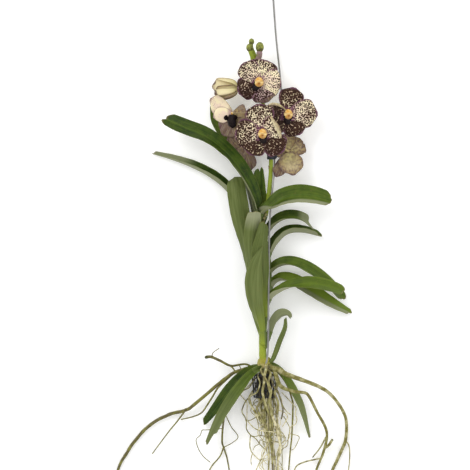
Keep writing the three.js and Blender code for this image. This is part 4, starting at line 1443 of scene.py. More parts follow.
@dataclass
class FlowerStalk(Assembly):
    """The flower stalk with its bracts, the scars of its joints and three buds."""

    path: Rows = (
        (-3, 294, 40), (0, 312, 41), (5, 350, 42), (8, 400, 44), (4, 460, 48), (-8, 520, 52), (-20, 580, 54),
        (-27, 614, 54))
    radii: Sequence[float] = (4.6, 4.6, 4.4, 4.2, 3.8, 3.4, 3, 2.6)
    joints: Sequence[float] = (0.09, 0.24, 0.4, 0.49, 0.56, 0.64, 0.72, 0.81, 0.9)
    bract_length: float = 6.5
    bract_thick: float = 0.45
    bract_gap: float = 0.15
    knuckle: float = 0.16
    buds: tuple[Bud, ...] = (
        Bud(
            ((-25, 598, 52), (-27, 613, 50), (-31, 629, 50), (-31, 638, 52)), (7, 6.8, 4.4, 3.2),
            (-31, 643, 53), (5.6, 6.6, 5.6), 0.2),
        Bud(
            ((-26, 604, 54), (-31, 618, 55), (-34, 626, 56)), (4.6, 4.8, 4.4),
            (-34.5, 631, 56), (7.2, 8.4, 6.8), 0.2),
        Bud(
            ((-22, 600, 54), (-16, 612, 57), (-15, 620, 60)), (5.8, 5.8, 6.2),
            (-14.4, 632, 60), (8.2, 10.6, 8), 1.1),
    )

    def bract(self, t: float, hand: float) -> Patch:
        """Makes the small clasping bract at a joint of the stalk.

        Args:
            t: Place of the joint, from 0 to 1.
            hand: 1 or -1, the side of the stalk that it stands on.

        Returns:
            The bract.
        """
        s, q = np.meshgrid(np.linspace(0, 1, 9), np.linspace(-1, 1, 11), indexing="ij")
        centre = smooth_rows(self.path, np.array([t]))[0]
        along = directions(self.path, np.array([t]))[0]
        side = unit(np.cross(along, UP)) * hand
        front = np.cross(side, along)
        radius = smooth_rows([[r] for r in self.radii], np.array([t]))[0, 0] + self.bract_gap
        turn = (q * 1.5 * (1 - s**1.6))[..., None]
        out = (radius + 1.2 * s**2)[..., None]
        ring = side * np.cos(turn) + front * np.sin(turn)
        lift = along * (s * self.bract_length)[..., None]
        upper, lower = centre + ring * (out + self.bract_thick) + lift, centre + ring * out + lift
        place = stacked(q * 4, s * self.bract_length, t * 300)
        return two_faced(upper, lower, place, stacked(q, s), tone=0.5, tint=1.0)

    def bud_patch(self, bud: Bud, seed: int) -> Patch:
        """Makes a bud: an egg with the seams of its overlapping sepals.

        Args:
            bud: Its sizes.
            seed: Turn of the seams and offset of the finish.

        Returns:
            The bud.
        """

        def egg(ball: Array) -> Array:
            """Moves a unit ball's points to the bud's.

            Args:
                ball: Points of the unit ball.

            Returns:
                Points in millimetres.
            """
            turn = np.arctan2(ball[:, 0], ball[:, 2])
            seam = bell(np.sin(1.5 * turn + seed), 0.16) * (1 - ball[:, 1] ** 2)
            size = 1 - 0.09 * seam - 0.06 * ball[:, 1]
            return np.array(bud.centre) + ball * np.array(bud.radii) * size[:, None]

        return shaped_globe(egg, 36, 20, tint=0.7, seed=seed)

    def knuckles(self, t: Array) -> Array:
        """Gives the factor of the stalk's radius at t: a small ring at each joint."""
        return 1 + sum(self.knuckle * bell(t - joint, 0.006) for joint in self.joints)

    def build(self, bench: Bench) -> None:
        """Makes the stalk.

        Args:
            bench: What it is made with.
        """
        stalk = round_limb(self.path, self.radii, sides=20, step=1.5, domes=(0.1, 0.8), swell=self.knuckles)
        patches = [replace(stalk, tone=stalk.form[:, 1].copy())]
        for number, joint in enumerate(self.joints):
            patches.append(self.bract(joint, 1.0 if number % 2 else -1.0))
        for number, bud in enumerate(self.buds):
            limb = round_limb(bud.stalk, bud.stalk_radii, sides=14, step=1.5, seed=number + 5, tone=bud.flush)
            patches += [limb, self.bud_patch(bud, number + 2)]
        material = StalkFinish(bench.effects).material()
        bench.piece("flower_stalk_with_buds", patches, [material], "flower_stalk", ["flower_stalk"])


# ---- blooms
class Whorl(Enum):
    """The sepals and petals of a bloom, each with its usual lift, its twist in degrees and its layer."""

    DORSAL = (0.1, 0, 0.2)
    PETAL_LEFT = (0.16, 10, 1.0)
    PETAL_RIGHT = (0.16, -10, 1.2)
    SEPAL_LEFT = (0.05, 0, -0.6)
    SEPAL_RIGHT = (0.05, 0, -0.3)


@dataclass(frozen=True)
class Tepal:
    """One sepal or petal.

    angle is degrees round the bloom with 90 up, lift the rise of its end as a share of its
    length, layer how far in front of the others it lies, and None is the usual. spots is how far
    the spots have grown on the front, back how dark the reverse is. curl is how many degrees one
    margin rolls forward, positive on the side clockwise of the tepal. back_from is the share of its
    length from which both faces look like the reverse, corner how rounded its end is.
    """

    angle: float
    length: float
    width: float
    lift: float | None = None
    layer: float | None = None
    spots: float = 0.55
    back: float = 0.5

    start: float = 2.5
    thick: float = 1.0
    broad: float = 0.62
    wave: float = 1.3
    curl: float = 0.0
    curl_start: float = 0.25
    back_from: float = 2.0
    corner: float = 0.1
    rows: int = 34
    columns: int = 27

    def half_width(self, t: Array) -> Array:
        """Gives half the width: a narrow claw, a broad blade and a rounded end.

        Args:
            t: Places along the tepal.

        Returns:
            Millimetres.
        """
        claw = 0.32 + 0.68 * np.sin(math.pi / 2 * np.minimum(1, t / self.broad)) ** 1.05
        end = np.sqrt(np.maximum(0, 1 - (0.94 * np.maximum(0, t - self.broad) / (1 - self.broad)) ** 2.6))
        return self.width / 2 * np.where(t < self.broad, claw, end)

    def patch(self, whorl: Whorl, seed: int) -> Patch:
        """Makes the tepal in the bloom's own axes: right, up and front.

        Args:
            whorl: Its place in the bloom.
            seed: Seed of its waves and of the finish.

        Returns:
            The tepal.
        """
        lift, twist, layer = whorl.value
        lift = lift if self.lift is None else self.lift
        layer = layer if self.layer is None else self.layer
        t, q = blade_grid(np.linspace(0, 1, self.rows) ** 0.85, self.columns)
        turn_to = math.radians(self.angle)
        along = np.array([math.cos(turn_to), math.sin(turn_to), 0.0])
        flat_side = np.array([math.sin(turn_to), -math.cos(turn_to), 0.0])
        turn = np.radians(twist * np.minimum(1, t * 1.6))[..., None]
        side = flat_side * np.cos(turn) + UP * np.sin(turn)
        face = np.cross(side, along)
        rounded = self.corner * np.abs(q) ** 2.4 * t**4 + 0.012 * bell(q, 0.12) * t**20
        reached = t - rounded
        frill = self.wave * np.abs(q) ** 2.5 * t * ripple(q * 2.5 + 1, t * 11, seed)
        end_frill = 0.8 * self.wave * t**6 * ripple(q * 5, t * 2, seed + 50)
        height = self.length * lift * reached**2 - 0.12 * self.width * q**2 * t + frill + end_frill
        hand = math.copysign(1.0, self.curl)
        most = math.radians(abs(self.curl)) + 1e-6
        rolled = most * np.maximum(0, hand * q - self.curl_start) / (1 - self.curl_start)
        half_width = self.half_width(t)
        bend = half_width * (1 - self.curl_start) / most
        flat = np.where(rolled > 0, hand * self.curl_start, q) * half_width
        sideways = flat + hand * bend * np.sin(rolled)
        lean = rolled[..., None]
        normal = face * np.cos(lean) - side * hand * np.sin(lean)
        middle = along * (self.start + (self.length - self.start) * reached)[..., None]
        middle = middle + side * sideways[..., None] + UP * (layer - self.thick / 2)
        middle = middle + face * (height + bend * (1 - np.cos(rolled)))[..., None]
        slim = np.sqrt(np.maximum(0, 1 - np.abs(q) ** 8)) * np.sqrt(np.maximum(0, 1 - t**24))
        half = normal * (self.thick / 2 * mix(1.0, 0.55, np.abs(q)) * slim)[..., None]
        rim = np.maximum(np.abs(q), np.clip((t - 0.5) * 2, 0, 1))
        spots = self.spots + 0.22 * rim**4 - 0.12 * bell(t - 0.35, 0.25)
        darker = np.clip(self.back + 0.35 * rim**3 - 0.2, 0, 1)
        place = stacked(q * half_width + seed * 61.0, reached * self.length, seed * 5.0)
        blade = two_faced(middle + half, middle - half, place, stacked(q, t), spots, darker)
        blade.form[blade.form[:, 1] >= self.back_from, 2] = 1.0
        return blade


@dataclass(frozen=True)
class Bloom:
    """One bloom: centre is its middle, facing its front, join the point on the flower stalk.

    tepals are its sepals and petals in the order of the whorl.
    """

    name: str
    centre: Triple
    facing: Triple
    lip_angle: float
    join: Triple
    tepals: tuple[Tepal, ...]
    column_size: float = 1.0
    lip_size: float = 1.0

    hub: float = 4.2
    hub_top: float = 1.0
    hub_half: float = 2.6
    pedicel: float = 1.7
    neck: Triple = (0, -1, -3)
    bend: Triple = (0, -4, -14)
    bend_share: float = 0.35
    column_radii: Triple = (9.2, 10.2, 6.4)
    lip_length: float = 19
    lip_thick: float = 3.4

    def axes(self) -> Array:
        """Gives the bloom's right, up and front directions as columns.

        Returns:
            A turning matrix.
        """
        front = unit(np.array(self.facing, float))
        upward = unit(np.array([0.0, 1.0, 0.0]) - front * front[1])
        return stacked(np.cross(upward, front), upward, front)

    def to_plant(self, points: Array) -> Array:
        """Moves points from the bloom's own axes to their place on the plant."""
        return points @ self.axes().T + np.array(self.centre, float)

    def placed(self, patches: Sequence[Patch]) -> list[Patch]:
        """Moves patches from the bloom's own axes to their place on the plant."""
        return [replace(patch, points=self.to_plant(patch.points)) for patch in patches]

    def hub_patch(self) -> Patch:
        """Makes the small disc that sepals and petals grow from.

        Returns:
            The disc, in the bloom's own axes.
        """
        size = np.array([self.hub, self.hub, self.hub_half])
        offset = np.array([0, 0, self.hub_top - self.hub_half])
        disc = shaped_globe(lambda ball: offset + ball * size, 20, 12, tone=0.5, tint=0.6)
        disc.form[:, 2] = disc.points[:, 2] < offset[2]
        return disc

    def stalk_patch(self, seed: int) -> Patch:
        """Makes the bloom's own stalk, at its place on the plant.

        Args:
            seed: Seed of its unevenness and of the finish.

        Returns:
            The stalk.
        """
        neck, bend = self.to_plant(np.array([self.neck, self.bend], float))
        join = np.array(self.join, float)
        rows = [neck, bend + (join - bend) * self.bend_share, join]
        radii = (self.pedicel * 1.2, self.pedicel, self.pedicel)
        stalk = round_limb(rows, radii, sides=18, step=1.5, lump=0.06, seed=seed, tone=0.1, tint=0.5)
        stalk.form[:, 2] = 1
        return stalk

    def flower(self, seed: int) -> list[Patch]:
        """Makes the sepals and petals with their hub and stalk.

        Args:
            seed: Seed of the waves and of the finish.

        Returns:
            Their patches, at their place on the plant.
        """
        members = enumerate(zip(Whorl, self.tepals, strict=True))
        tepals = [tepal.patch(whorl, seed * 7 + number + 1) for number, (whorl, tepal) in members]
        return [*self.placed([*tepals, self.hub_patch()]), self.stalk_patch(seed + 1)]

    def column_patch(self) -> Patch:
        """Makes the column with its cap, side wings and throat.

        Returns:
            The column, in the bloom's own axes.
        """
        size = self.column_size
        centre = np.array([0, size, self.hub_top + SEAT_GAP + 6 * size])
        radii = np.array(self.column_radii) * size

        def groove(ball: Array) -> Array:
            """Gives the depth of the groove under the cap, from 0 to 1."""
            return bell(ball[:, 1] - 0.1 - 0.25 * ball[:, 0] ** 2, 0.07)

        def carved(ball: Array) -> Array:
            """Moves a unit ball's points to the column's.

            Args:
                ball: Points of the unit ball.

            Returns:
                Points in millimetres.
            """
            throat = bell(np.hypot(ball[:, 0] / 1.1, ball[:, 1] + 0.42), 0.3) * (ball[:, 2] > 0)
            inward = 0.42 * throat + 0.09 * groove(ball) * (ball[:, 2] > -0.2)
            taper = 1 - 0.18 * np.maximum(0, ball[:, 1])
            scaled = ball * radii * stacked(taper, 1, 1)
            beak = 0.16 * bell(np.hypot(ball[:, 0] * 2, ball[:, 1] + 0.06), 0.2)[:, None]
            return centre + scaled * (1 - inward[:, None] + beak * UP)

        def painted_shade_tone(ball: Array) -> Array:
            """Gives the painted shade of a unit ball's points: deep in the throat, in the groove and at the
            foot.
            """
            deep = bell(np.hypot(ball[:, 0] / 1.3, ball[:, 1] + 0.45), 0.36) * (ball[:, 2] > 0)
            return np.clip(deep + 0.5 * groove(ball) + 0.35 * (ball[:, 1] < -0.75), 0, 1)

        # tone is painted shade in the column's recesses and at its foot
        return shaped_globe(carved, 44, 32, tone=painted_shade_tone, seed=3)

    def lip_patches(self) -> list[Patch]:
        """Makes the three-lobed lip: a ridged tongue and two ears beside the column.

        Returns:
            Their patches, in the bloom's own axes.
        """
        size = self.lip_size
        front = self.hub_top + SEAT_GAP
        turn = math.radians(self.lip_angle)
        along = np.array([math.cos(turn), math.sin(turn), 0.0])
        side = np.array([-math.sin(turn), math.cos(turn), 0.0])
        t, q = blade_grid(np.linspace(0, 1, 26), 23)
        waist = np.sin(np.pi * np.clip(t * 0.92 + 0.05, 0, 1)) ** 0.8
        half = size * (2.6 + 4.6 * waist + 1.4 * bell(t - 0.86, 0.1))
        half = half * np.sqrt(np.maximum(0.02, 1 - t**9))
        ridges = 1.1 * (bell(q, 0.13) + bell(np.abs(q) - 0.42, 0.13)) * np.sin(np.pi * t)
        height = front + size * (5 + 3.4 * t - 5.0 * t**3 + ridges) - size * 1.8 * q**2
        upper = along * (size * (1 + self.lip_length * t))[..., None]
        upper = upper + side * (q * half)[..., None] + UP * height[..., None]
        thick = size * self.lip_thick * np.sqrt(np.maximum(0, 1 - q**4)) * np.sqrt(np.maximum(0, 1 - t**8))
        place = stacked(q * half, t * self.lip_length * size, 0)
        lower = upper - UP * thick[..., None]
        patches = [two_faced(upper, lower, place, stacked(q, t), tone=np.clip(ridges, 0, 1), slot=1)]
        for hand in (-1.0, 1.0):
            offset = side * hand * 7.2 * size + along * 5.2 * size + UP * (front + 5.4 * size)

            def ear(ball: Array, hand: float = hand, offset: Array = offset) -> Array:
                """Moves a unit ball's points to an ear's.

                Args:
                    ball: Points of the unit ball.
                    hand: 1 or -1, the side of the column.
                    offset: Middle of the ear.

                Returns:
                    Points in millimetres.
                """
                wide = ball[:, [1]] * along * 3.8 * size
                high = ball[:, [2]] * UP * 4.6 * size
                thin = (ball[:, [0]] * 1.3 + 1.2 * hand * ball[:, [2]] ** 2) * side * size
                return offset + wide + high + thin

            patches.append(shaped_globe(ear, 18, 12, seed=8, slot=1))
        return patches


BLOOMS = (
    Bloom("bloom_top", (-16, 561, 76), (0, -0.12, 1), -125, (-15, 556, 53), (
        Tepal(75, 47, 60, spots=0.72, wave=2, corner=0.05),
        Tepal(131, 51, 47, spots=0.66, wave=2, corner=0.07),
        Tepal(357, 45, 58, spots=0.52, wave=2),
        Tepal(206, 47, 48, spots=1.0, back=0.98, wave=2.4),
        Tepal(292, 44, 50, spots=0.78, back=1.1, back_from=0.78, wave=2),
    )),
    Bloom("bloom_front", (-9, 458, 88), (-0.02, -0.15, 1), -85, (4, 452, 48), (
        Tepal(98, 62, 58, spots=0.77, wave=1.8),
        Tepal(180, 56, 62, spots=0.83, wave=1.8),
        Tepal(25, 38, 58, lift=0.3, spots=0.74, back=0.42, back_from=0.72),
        Tepal(236, 50, 50, spots=1.04),
        Tepal(318, 56, 52, spots=1.14, back=0.95),
    )),
    Bloom("bloom_right", (41, 497, 66), (0.2, -0.1, 0.95), -95, (-2, 482, 50), (
        Tepal(78, 56, 52, spots=0.97),
        Tepal(166, 50, 60, lift=0.25, spots=1.1, curl=170, curl_start=0.4, back=0.3),
        Tepal(3, 60, 60, spots=0.71),
        Tepal(216, 42, 50, spots=1.1),
        Tepal(306, 49, 54, spots=1.07),
    )),
    Bloom("bloom_low_right", (42, 424, 34), (-0.1, -0.3, -0.9), -90, (7, 442, 46), (
        Tepal(84, 38, 40, back=0.64, wave=2.2, spots=0.62),
        Tepal(150, 38, 46, back=0.66, wave=3.6, lift=0.05, spots=0.75),
        Tepal(14, 28, 40, back=0.7, wave=2, spots=0.6),
        Tepal(260, 53, 50, lift=0, back=0.6, wave=3.8, spots=0.7, broad=0.4),
        Tepal(296, 61, 26, lift=0, back=0.95, wave=2, layer=1.6, broad=0.78),
    )),
    Bloom("bloom_top_left", (-60, 551, 50), (-0.97, 0, -0.25), -90, (-12, 538, 52), (
        Tepal(86, 18, 40, lift=2.5, back=0.12, broad=0.9, spots=0, corner=0.03),
        Tepal(168, 19, 38, lift=2.3, back=0.2, broad=0.9, spots=0, corner=0.03),
        Tepal(24, 18, 40, lift=2.6, back=0.24, broad=0.93, spots=0.2, corner=0.03),
        Tepal(238, 17, 40, lift=2.5, back=0.58, broad=0.9, spots=0, corner=0.03),
        Tepal(316, 18, 40, lift=2.5, back=0.48, broad=0.92, spots=0.5, corner=0.03),
    ), column_size=0.5, lip_size=0.5),
    Bloom("bloom_left", (-68, 499, 58), (-0.6, -0.12, 0.78), -90, (-4, 500, 51), (
        Tepal(144, 52, 54, lift=0.36, spots=0.1, back=0.1, curl=80, curl_start=0.1),
        Tepal(184, 41, 34, lift=0.3, spots=0.02, back=0.1, layer=2),
        Tepal(4, 38, 33, lift=0.1, back=0.76, spots=0.7, back_from=0, broad=0.8),
        Tepal(236, 53, 50, spots=0.9, back=1.1, back_from=0),
        Tepal(286, 50, 48, back=1.0, spots=0.6, back_from=0),
    ), column_size=0.3, lip_size=1.45),
    Bloom("bloom_low_left", (-50, 433, 33), (-0.35, 0.12, -0.92), -90, (5, 446, 47), (
        Tepal(88, 40, 46, back=0.85, spots=0.7),
        Tepal(160, 36, 46, back=0.85, spots=0.7),
        Tepal(40, 36, 42, back=0.95, spots=0.7),
        Tepal(252, 54, 42, back=1.05, spots=0.7),
        Tepal(292, 36, 34, back=0.95, spots=0.7),
    )),
)


@dataclass
class BloomSpray(Assembly):
    """The seven blooms, each as its tepals with their stalk, and its column with the lip."""

    blooms: tuple[Bloom, ...] = BLOOMS

    def build(self, bench: Bench) -> None:
        """Makes every bloom.

        Args:
            bench: What they are made with.
        """
        effects = bench.effects
        tepal, column = TepalFinish(effects).material(), ColumnFinish(effects).material()
        lip = LipFinish(effects).material()
        for number, bloom in enumerate(self.blooms):
            bench.piece(bloom.name + "_tepals", bloom.flower(number), [tepal], "petal", [bloom.name])
            heart = bloom.placed([bloom.column_patch(), *bloom.lip_patches()])
            node = bloom.name + "_column"
            bench.piece(bloom.name + "_column_and_lip", heart, [column, lip], "column", [node])


# ---- roots
@dataclass(frozen=True)
class Strand:
    """One root or branch: its path and its radii from start to end."""

    path: Rows
    radii: Sequence[float]

    def limb(
        self,
        sides: int,
        lump: float,
        lump_length: float,
        seed: int,
        tint: float,
        tone: float = 0.0,
        step: float = 1.8,
    ) -> Patch:
        """Makes the root's skin.

        Args:
            sides: Points round it.
            lump: Unevenness of the radius, as a share of it.
            lump_length: How long the uneven stretches are.
            seed: Seed of the unevenness and of the finish.
            tint: How silver it is.
            tone: How green its tip is.
            step: Distance between rings.

        Returns:
            The limb.
        """
        return round_limb(
            self.path, self.radii, sides, step, lump=lump, lump_length=lump_length, seed=seed, tone=tone,
            tint=tint)


@dataclass(frozen=True)
class AerialRoot:
    """One thick free root from inside the crown to its tip, with its branches."""

    name: str
    main: Strand
    branches: tuple[Strand, ...] = ()
    silver: float = 0.3
    green_tip: float = 0.0

    def patches(self, seed: int) -> list[Patch]:
        """Makes the root and its branches.

        Args:
            seed: Seed of their unevenness and of the finish.

        Returns:
            Their patches.
        """
        patches = [self.main.limb(16, 0.09, 7.0, seed, self.silver, self.green_tip)]
        for number, branch in enumerate(self.branches):
            patches.append(branch.limb(10, 0.1, 5.0, seed + 20 + number, self.silver + 0.2, self.green_tip))
        return patches


ROOTS = (
    AerialRoot(
        "root_left_long",
        Strand(((-6, -6, 26), (-34, -10, 24), (-66, -20, 26), (-94, -40, 24), (-148, -86, 16),
            (-165, -96, 12), (-198, -105, 8), (-234, -125, 8), (-264, -156, 6), (-284, -186, 5),
            (-298, -213, 5), (-306, -262, 5)), (3.4, 3.2, 3.4, 3.4, 3.2, 2.4)),
        (
            Strand(((-66, -20, 26), (-80, -33, 24), (-97, -49, 22), (-109, -68, 19), (-121, -87, 16),
                (-133, -102, 13), (-154, -110, 10), (-172, -114, 9)), (1.9, 1.8, 1.6, 1.2)),
            Strand(((-165, -98, 12), (-180, -118, 8), (-198, -140, 5), (-230, -183, 4)), (1.6, 1.4, 1)),
        ),
        silver=0.15),
    AerialRoot(
        "root_left_stub",
        Strand(((-4, -10, 24), (-24, -11, 16), (-44, -3, 16), (-72, -6, 20), (-94, 4, 24), (-112, 12, 27),
            (-122, 11, 28)), (1.9, 2, 2.6, 3.3)),
        (
            Strand(((-110, 12, 27), (-108, 20, 28), (-96, 29, 28)), (1, 0.8)),
            Strand(((-76, -5, 20), (-69, -10, 21), (-62, -20, 23)), (1.8, 1.5)),
            Strand(((-58, -3, 19), (-54, -8, 18), (-52, -14, 17)), (1, 0.8)),
        ),
        silver=0.1, green_tip=0.8),
    AerialRoot(
        "root_right_long",
        Strand(((3, -7, 38), (9, -9, 51), (24, -14, 54), (38, -22, 50), (70, -34, 42), (105, -48, 32),
            (126, -62, 28), (146, -86, 20), (157, -108, 14), (160, -132, 10), (158, -154, 8),
            (152, -172, 6), (140, -198, 5), (132, -216, 5), (118, -262, 5)),
            (3.6, 5.6, 4.2, 3.3, 3.1, 3.3, 3.2, 2.4)),
        (
            Strand(((158, -154, 8), (166, -174, 6), (164, -214, 4), (156, -240, 4)), (1.4, 1.2, 0.9)),
        ),
        silver=0.62),
    AerialRoot(
        "root_right_inner",
        Strand(((9, -14, 34), (15, -18, 55), (19, -28, 60), (24, -42, 57), (35, -51, 51), (54, -57, 46),
            (76, -60, 42), (86, -70, 38), (101, -100, 30), (117, -129, 22), (120, -152, 16),
            (112, -184, 10), (100, -214, 6), (88, -262, 5)), (3, 4.6, 3.6, 3, 2.8, 2.6, 2)),
        (
            Strand(((119, -170, 13), (125, -164, 15), (131, -155, 16)), (2.6, 2.6)),
            Strand(((118, -150, 17), (106, -172, 12), (92, -190, 8)), (1.6, 1.2)),
            Strand(((108, -192, 9), (75, -200, 6), (58, -210, 5), (52, -234, 4)), (1.6, 1.2)),
        ),
        silver=0.5, green_tip=0.6),
    AerialRoot(
        "root_right_straight",
        Strand(((2, -12, 22), (20, -18, 12), (40, -44, 10), (51, -76, 12), (52, -96, 14), (50, -146, 14),
            (47, -176, 10), (44, -214, 6), (42, -260, 4)), (1.8, 1.8, 1.8, 1.6, 1.2)),
        silver=0.45),
    AerialRoot(
        "root_left_inner",
        Strand(((-6, -10, 20), (-20, -14, 10), (-46, -32, 8), (-70, -70, 10), (-84, -100, 12),
            (-90, -154, 10), (-86, -172, 8), (-80, -192, 6), (-76, -214, 5), (-70, -256, 4)),
            (2, 2, 2, 1.6, 1.2)),
        (
            Strand(((-87, -170, 8), (-94, -188, 6), (-114, -214, 4), (-122, -250, 4)), (1.6, 1.4, 1)),
            Strand(((-84, -102, 14), (-72, -128, 12), (-58, -148, 10), (-68, -160, 8), (-86, -170, 8)),
                (1, 0.9)),
            Strand(((-89, -132, 11), (-106, -134, 14), (-122, -135, 14), (-130, -136, 12), (-134, -146, 10),
                (-142, -155, 8), (-138, -172, 6), (-128, -188, 5), (-114, -200, 4)), (0.9, 0.8)),
        ),
        silver=0.2),
)
FRONT_ROOTS = (
    Strand(((-2, -2, 38), (-1, -2, 58), (-2, -12, 63), (-5, -26, 63), (-6, -40, 61.5), (-9, -56, 60),
        (-5, -76, 55), (5, -108, 32), (7, -136, 20)), (2.4, 2.8, 2.8, 2.4, 2.4, 2.2)),
    Strand(((0, -13, 38), (7, -20, 61), (3, -38, 62), (8, -56, 61), (5, -78, 54), (11, -112, 30),
        (10, -146, 18)), (2.2, 2.2, 2.4, 2.2)),
    Strand(((-8, -8, 38), (-12, -16, 58), (-1, -34, 64), (4, -52, 63), (7, -66, 57), (1, -80, 48),
        (-9, -98, 36)), (2, 1.9, 1.6)),
    Strand(((4, -12, 40), (9, -24, 60.5), (12, -44, 60), (21, -56, 52), (26, -70, 44), (32, -94, 30),
        (29, -112, 24)), (1.8, 1.8, 1.5)),
    Strand(((10, -12, 36), (18, -22, 52), (22, -34, 50), (19, -48, 50), (16, -62, 48), (22, -80, 38),
        (21, -106, 28)), (2.6, 2.8, 2.2)),
    Strand(((-4, -12, 34), (-18, -24, 52), (-14, -40, 57), (-20, -58, 52), (-34, -68, 38), (-30, -86, 30)),
        (1.5, 1.4, 1.2)),
    Strand(((-6, -16, 30), (-26, -34, 44), (-36, -50, 36), (-50, -57, 26), (-64, -74, 16)),
        (1.3, 1.2, 0.9)),
)
MAIN_ROOTS = (
    Strand(((-2, -36, 30), (6, -53, 40), (-8, -72, 46), (-17, -84, 44), (-20, -92, 40), (-14, -105, 34),
        (-5, -124, 28), (1, -137, 24), (6, -158, 20), (9, -175, 18), (11, -195, 15), (12, -226, 10)),
        (2.4, 2.5, 2.4, 2.1, 1.8)),
    Strand(((-4, -36, 28), (-1, -63, 38), (-2, -80, 38), (4, -94, 36), (12, -110, 32), (18, -126, 28),
        (23, -146, 24), (26, -163, 20), (27, -178, 16), (23, -195, 12), (19, -232, 7)),
        (2.3, 2.5, 2.6, 2.3, 1.7)),
    Strand(((-12, -36, 24), (-34, -66, 26), (-34, -80, 28), (-25, -96, 28), (-16, -112, 26), (-6, -125, 24),
        (-4, -137, 22), (2, -160, 18), (4, -190, 14), (2, -244, 6)), (2.2, 2.4, 2.8, 2.8, 2.2, 1.4)),
    Strand(((-6, -36, 22), (4, -70, 20), (8, -100, 18), (2, -130, 16), (10, -160, 14), (16, -200, 10),
        (14, -250, 5)), (2.2, 2.4, 2.6, 2.2, 1.6)),
    Strand(((0, -36, 26), (12, -66, 24), (19, -94, 22), (19, -108, 22), (21, -121, 20), (28, -150, 16),
        (22, -190, 12), (26, -240, 5)), (2.2, 2.2, 2, 1.6)),
)
LOOPED_ROOTS = (
    Strand(((-20, -60, 22), (-36, -70, 20), (-45, -82, 20), (-50, -98, 18), (-44, -109, 18),
        (-41, -120, 18), (-41, -133, 16), (-33, -145, 16), (-22, -153, 16), (-14, -164, 15),
        (-5, -173, 14)), (1.3, 1.2, 1.1)),
    Strand(((-26, -36, 16), (-44, -54, 16), (-53, -63, 16), (-46, -73, 18), (-40, -81, 18), (-40, -98, 16),
        (-40, -117, 14)), (1.2, 1.1, 0.9)),
    Strand(((-33, -146, 14), (-34, -170, 10), (-28, -183, 9), (-15, -195, 10), (-9, -194, 12)),
        (1.3, 1.2, 1.1)),
    Strand(((-29, -182, 9), (-32, -195, 7), (-31, -206, 6)), (1, 0.8)),
    Strand(((-38, -118, 16), (-30, -127, 20), (-20, -134, 26), (-4, -137, 30), (15, -139, 30),
        (26, -143, 24), (38, -151, 18)), (1.2, 1.2, 1)),
    Strand(((30, -60, 18), (49, -80, 20), (58, -91, 20), (57, -103, 20), (60, -114, 18), (57, -124, 18),
        (48, -129, 18), (45, -149, 16), (38, -160, 16), (31, -170, 14)), (1.1, 1, 0.9)),
    Strand(((10, -44, 34), (24, -64, 32), (29, -74, 30), (31, -84, 28), (38, -96, 24), (47, -104, 20)),
        (1.3, 1.2, 1)),
    Strand(((16, -90, 26), (23, -95, 28), (30, -97, 28), (38, -102, 26), (41, -110, 24), (36, -120, 22),
        (31, -128, 20)), (1.2, 1.1, 1)),
    Strand(((48, -143, 16), (64, -148, 12), (62, -159, 10), (54, -173, 10), (46, -176, 12)), (0.9, 0.8)),
    Strand(((34, -108, 20), (40, -119, 18), (46, -133, 16), (43, -149, 16), (41, -166, 14), (31, -175, 12),
        (31, -195, 8), (30, -216, 5)), (1, 0.9)),
    Strand(((1, -160, 22), (-5, -178, 18), (-13, -197, 12), (-21, -214, 7), (-30, -236, 5)), (1.5, 1.3, 1)),
    Strand(((0, -148, 22), (-14, -146, 20), (-24, -148, 18), (-33, -146, 16)), (1, 0.8)),
    Strand(((-16, -108, 26), (-23, -110, 24), (-32, -115, 20), (-38, -116, 17)), (1.1, 0.9)),
    Strand(((-2, -106, 22), (-10, -100, 30), (-17, -104, 34), (-18, -112, 33), (-10, -118, 30),
        (-2, -126, 26)), (1.2, 1)),
    Strand(((-2, -160, 18), (-13, -155, 18), (-16, -163, 15), (-24, -168, 12), (-28, -176, 10)),
        (0.9, 0.8)),
)


@dataclass
class AerialRoots(Assembly):
    """The six thick free roots."""

    roots: tuple[AerialRoot, ...] = ROOTS

    def build(self, bench: Bench) -> None:
        """Makes every free root.

        Args:
            bench: What they are made with.
        """
        finish = RootFinish(bench.effects, "free_root", "#4a4820", "#77752f", "#b3ad84", "#5a4a26")
        material = finish.material()
        for number, root in enumerate(self.roots):
            bench.piece(root.name + "_limbs", root.patches(number + 1), [material], "root", [root.name])


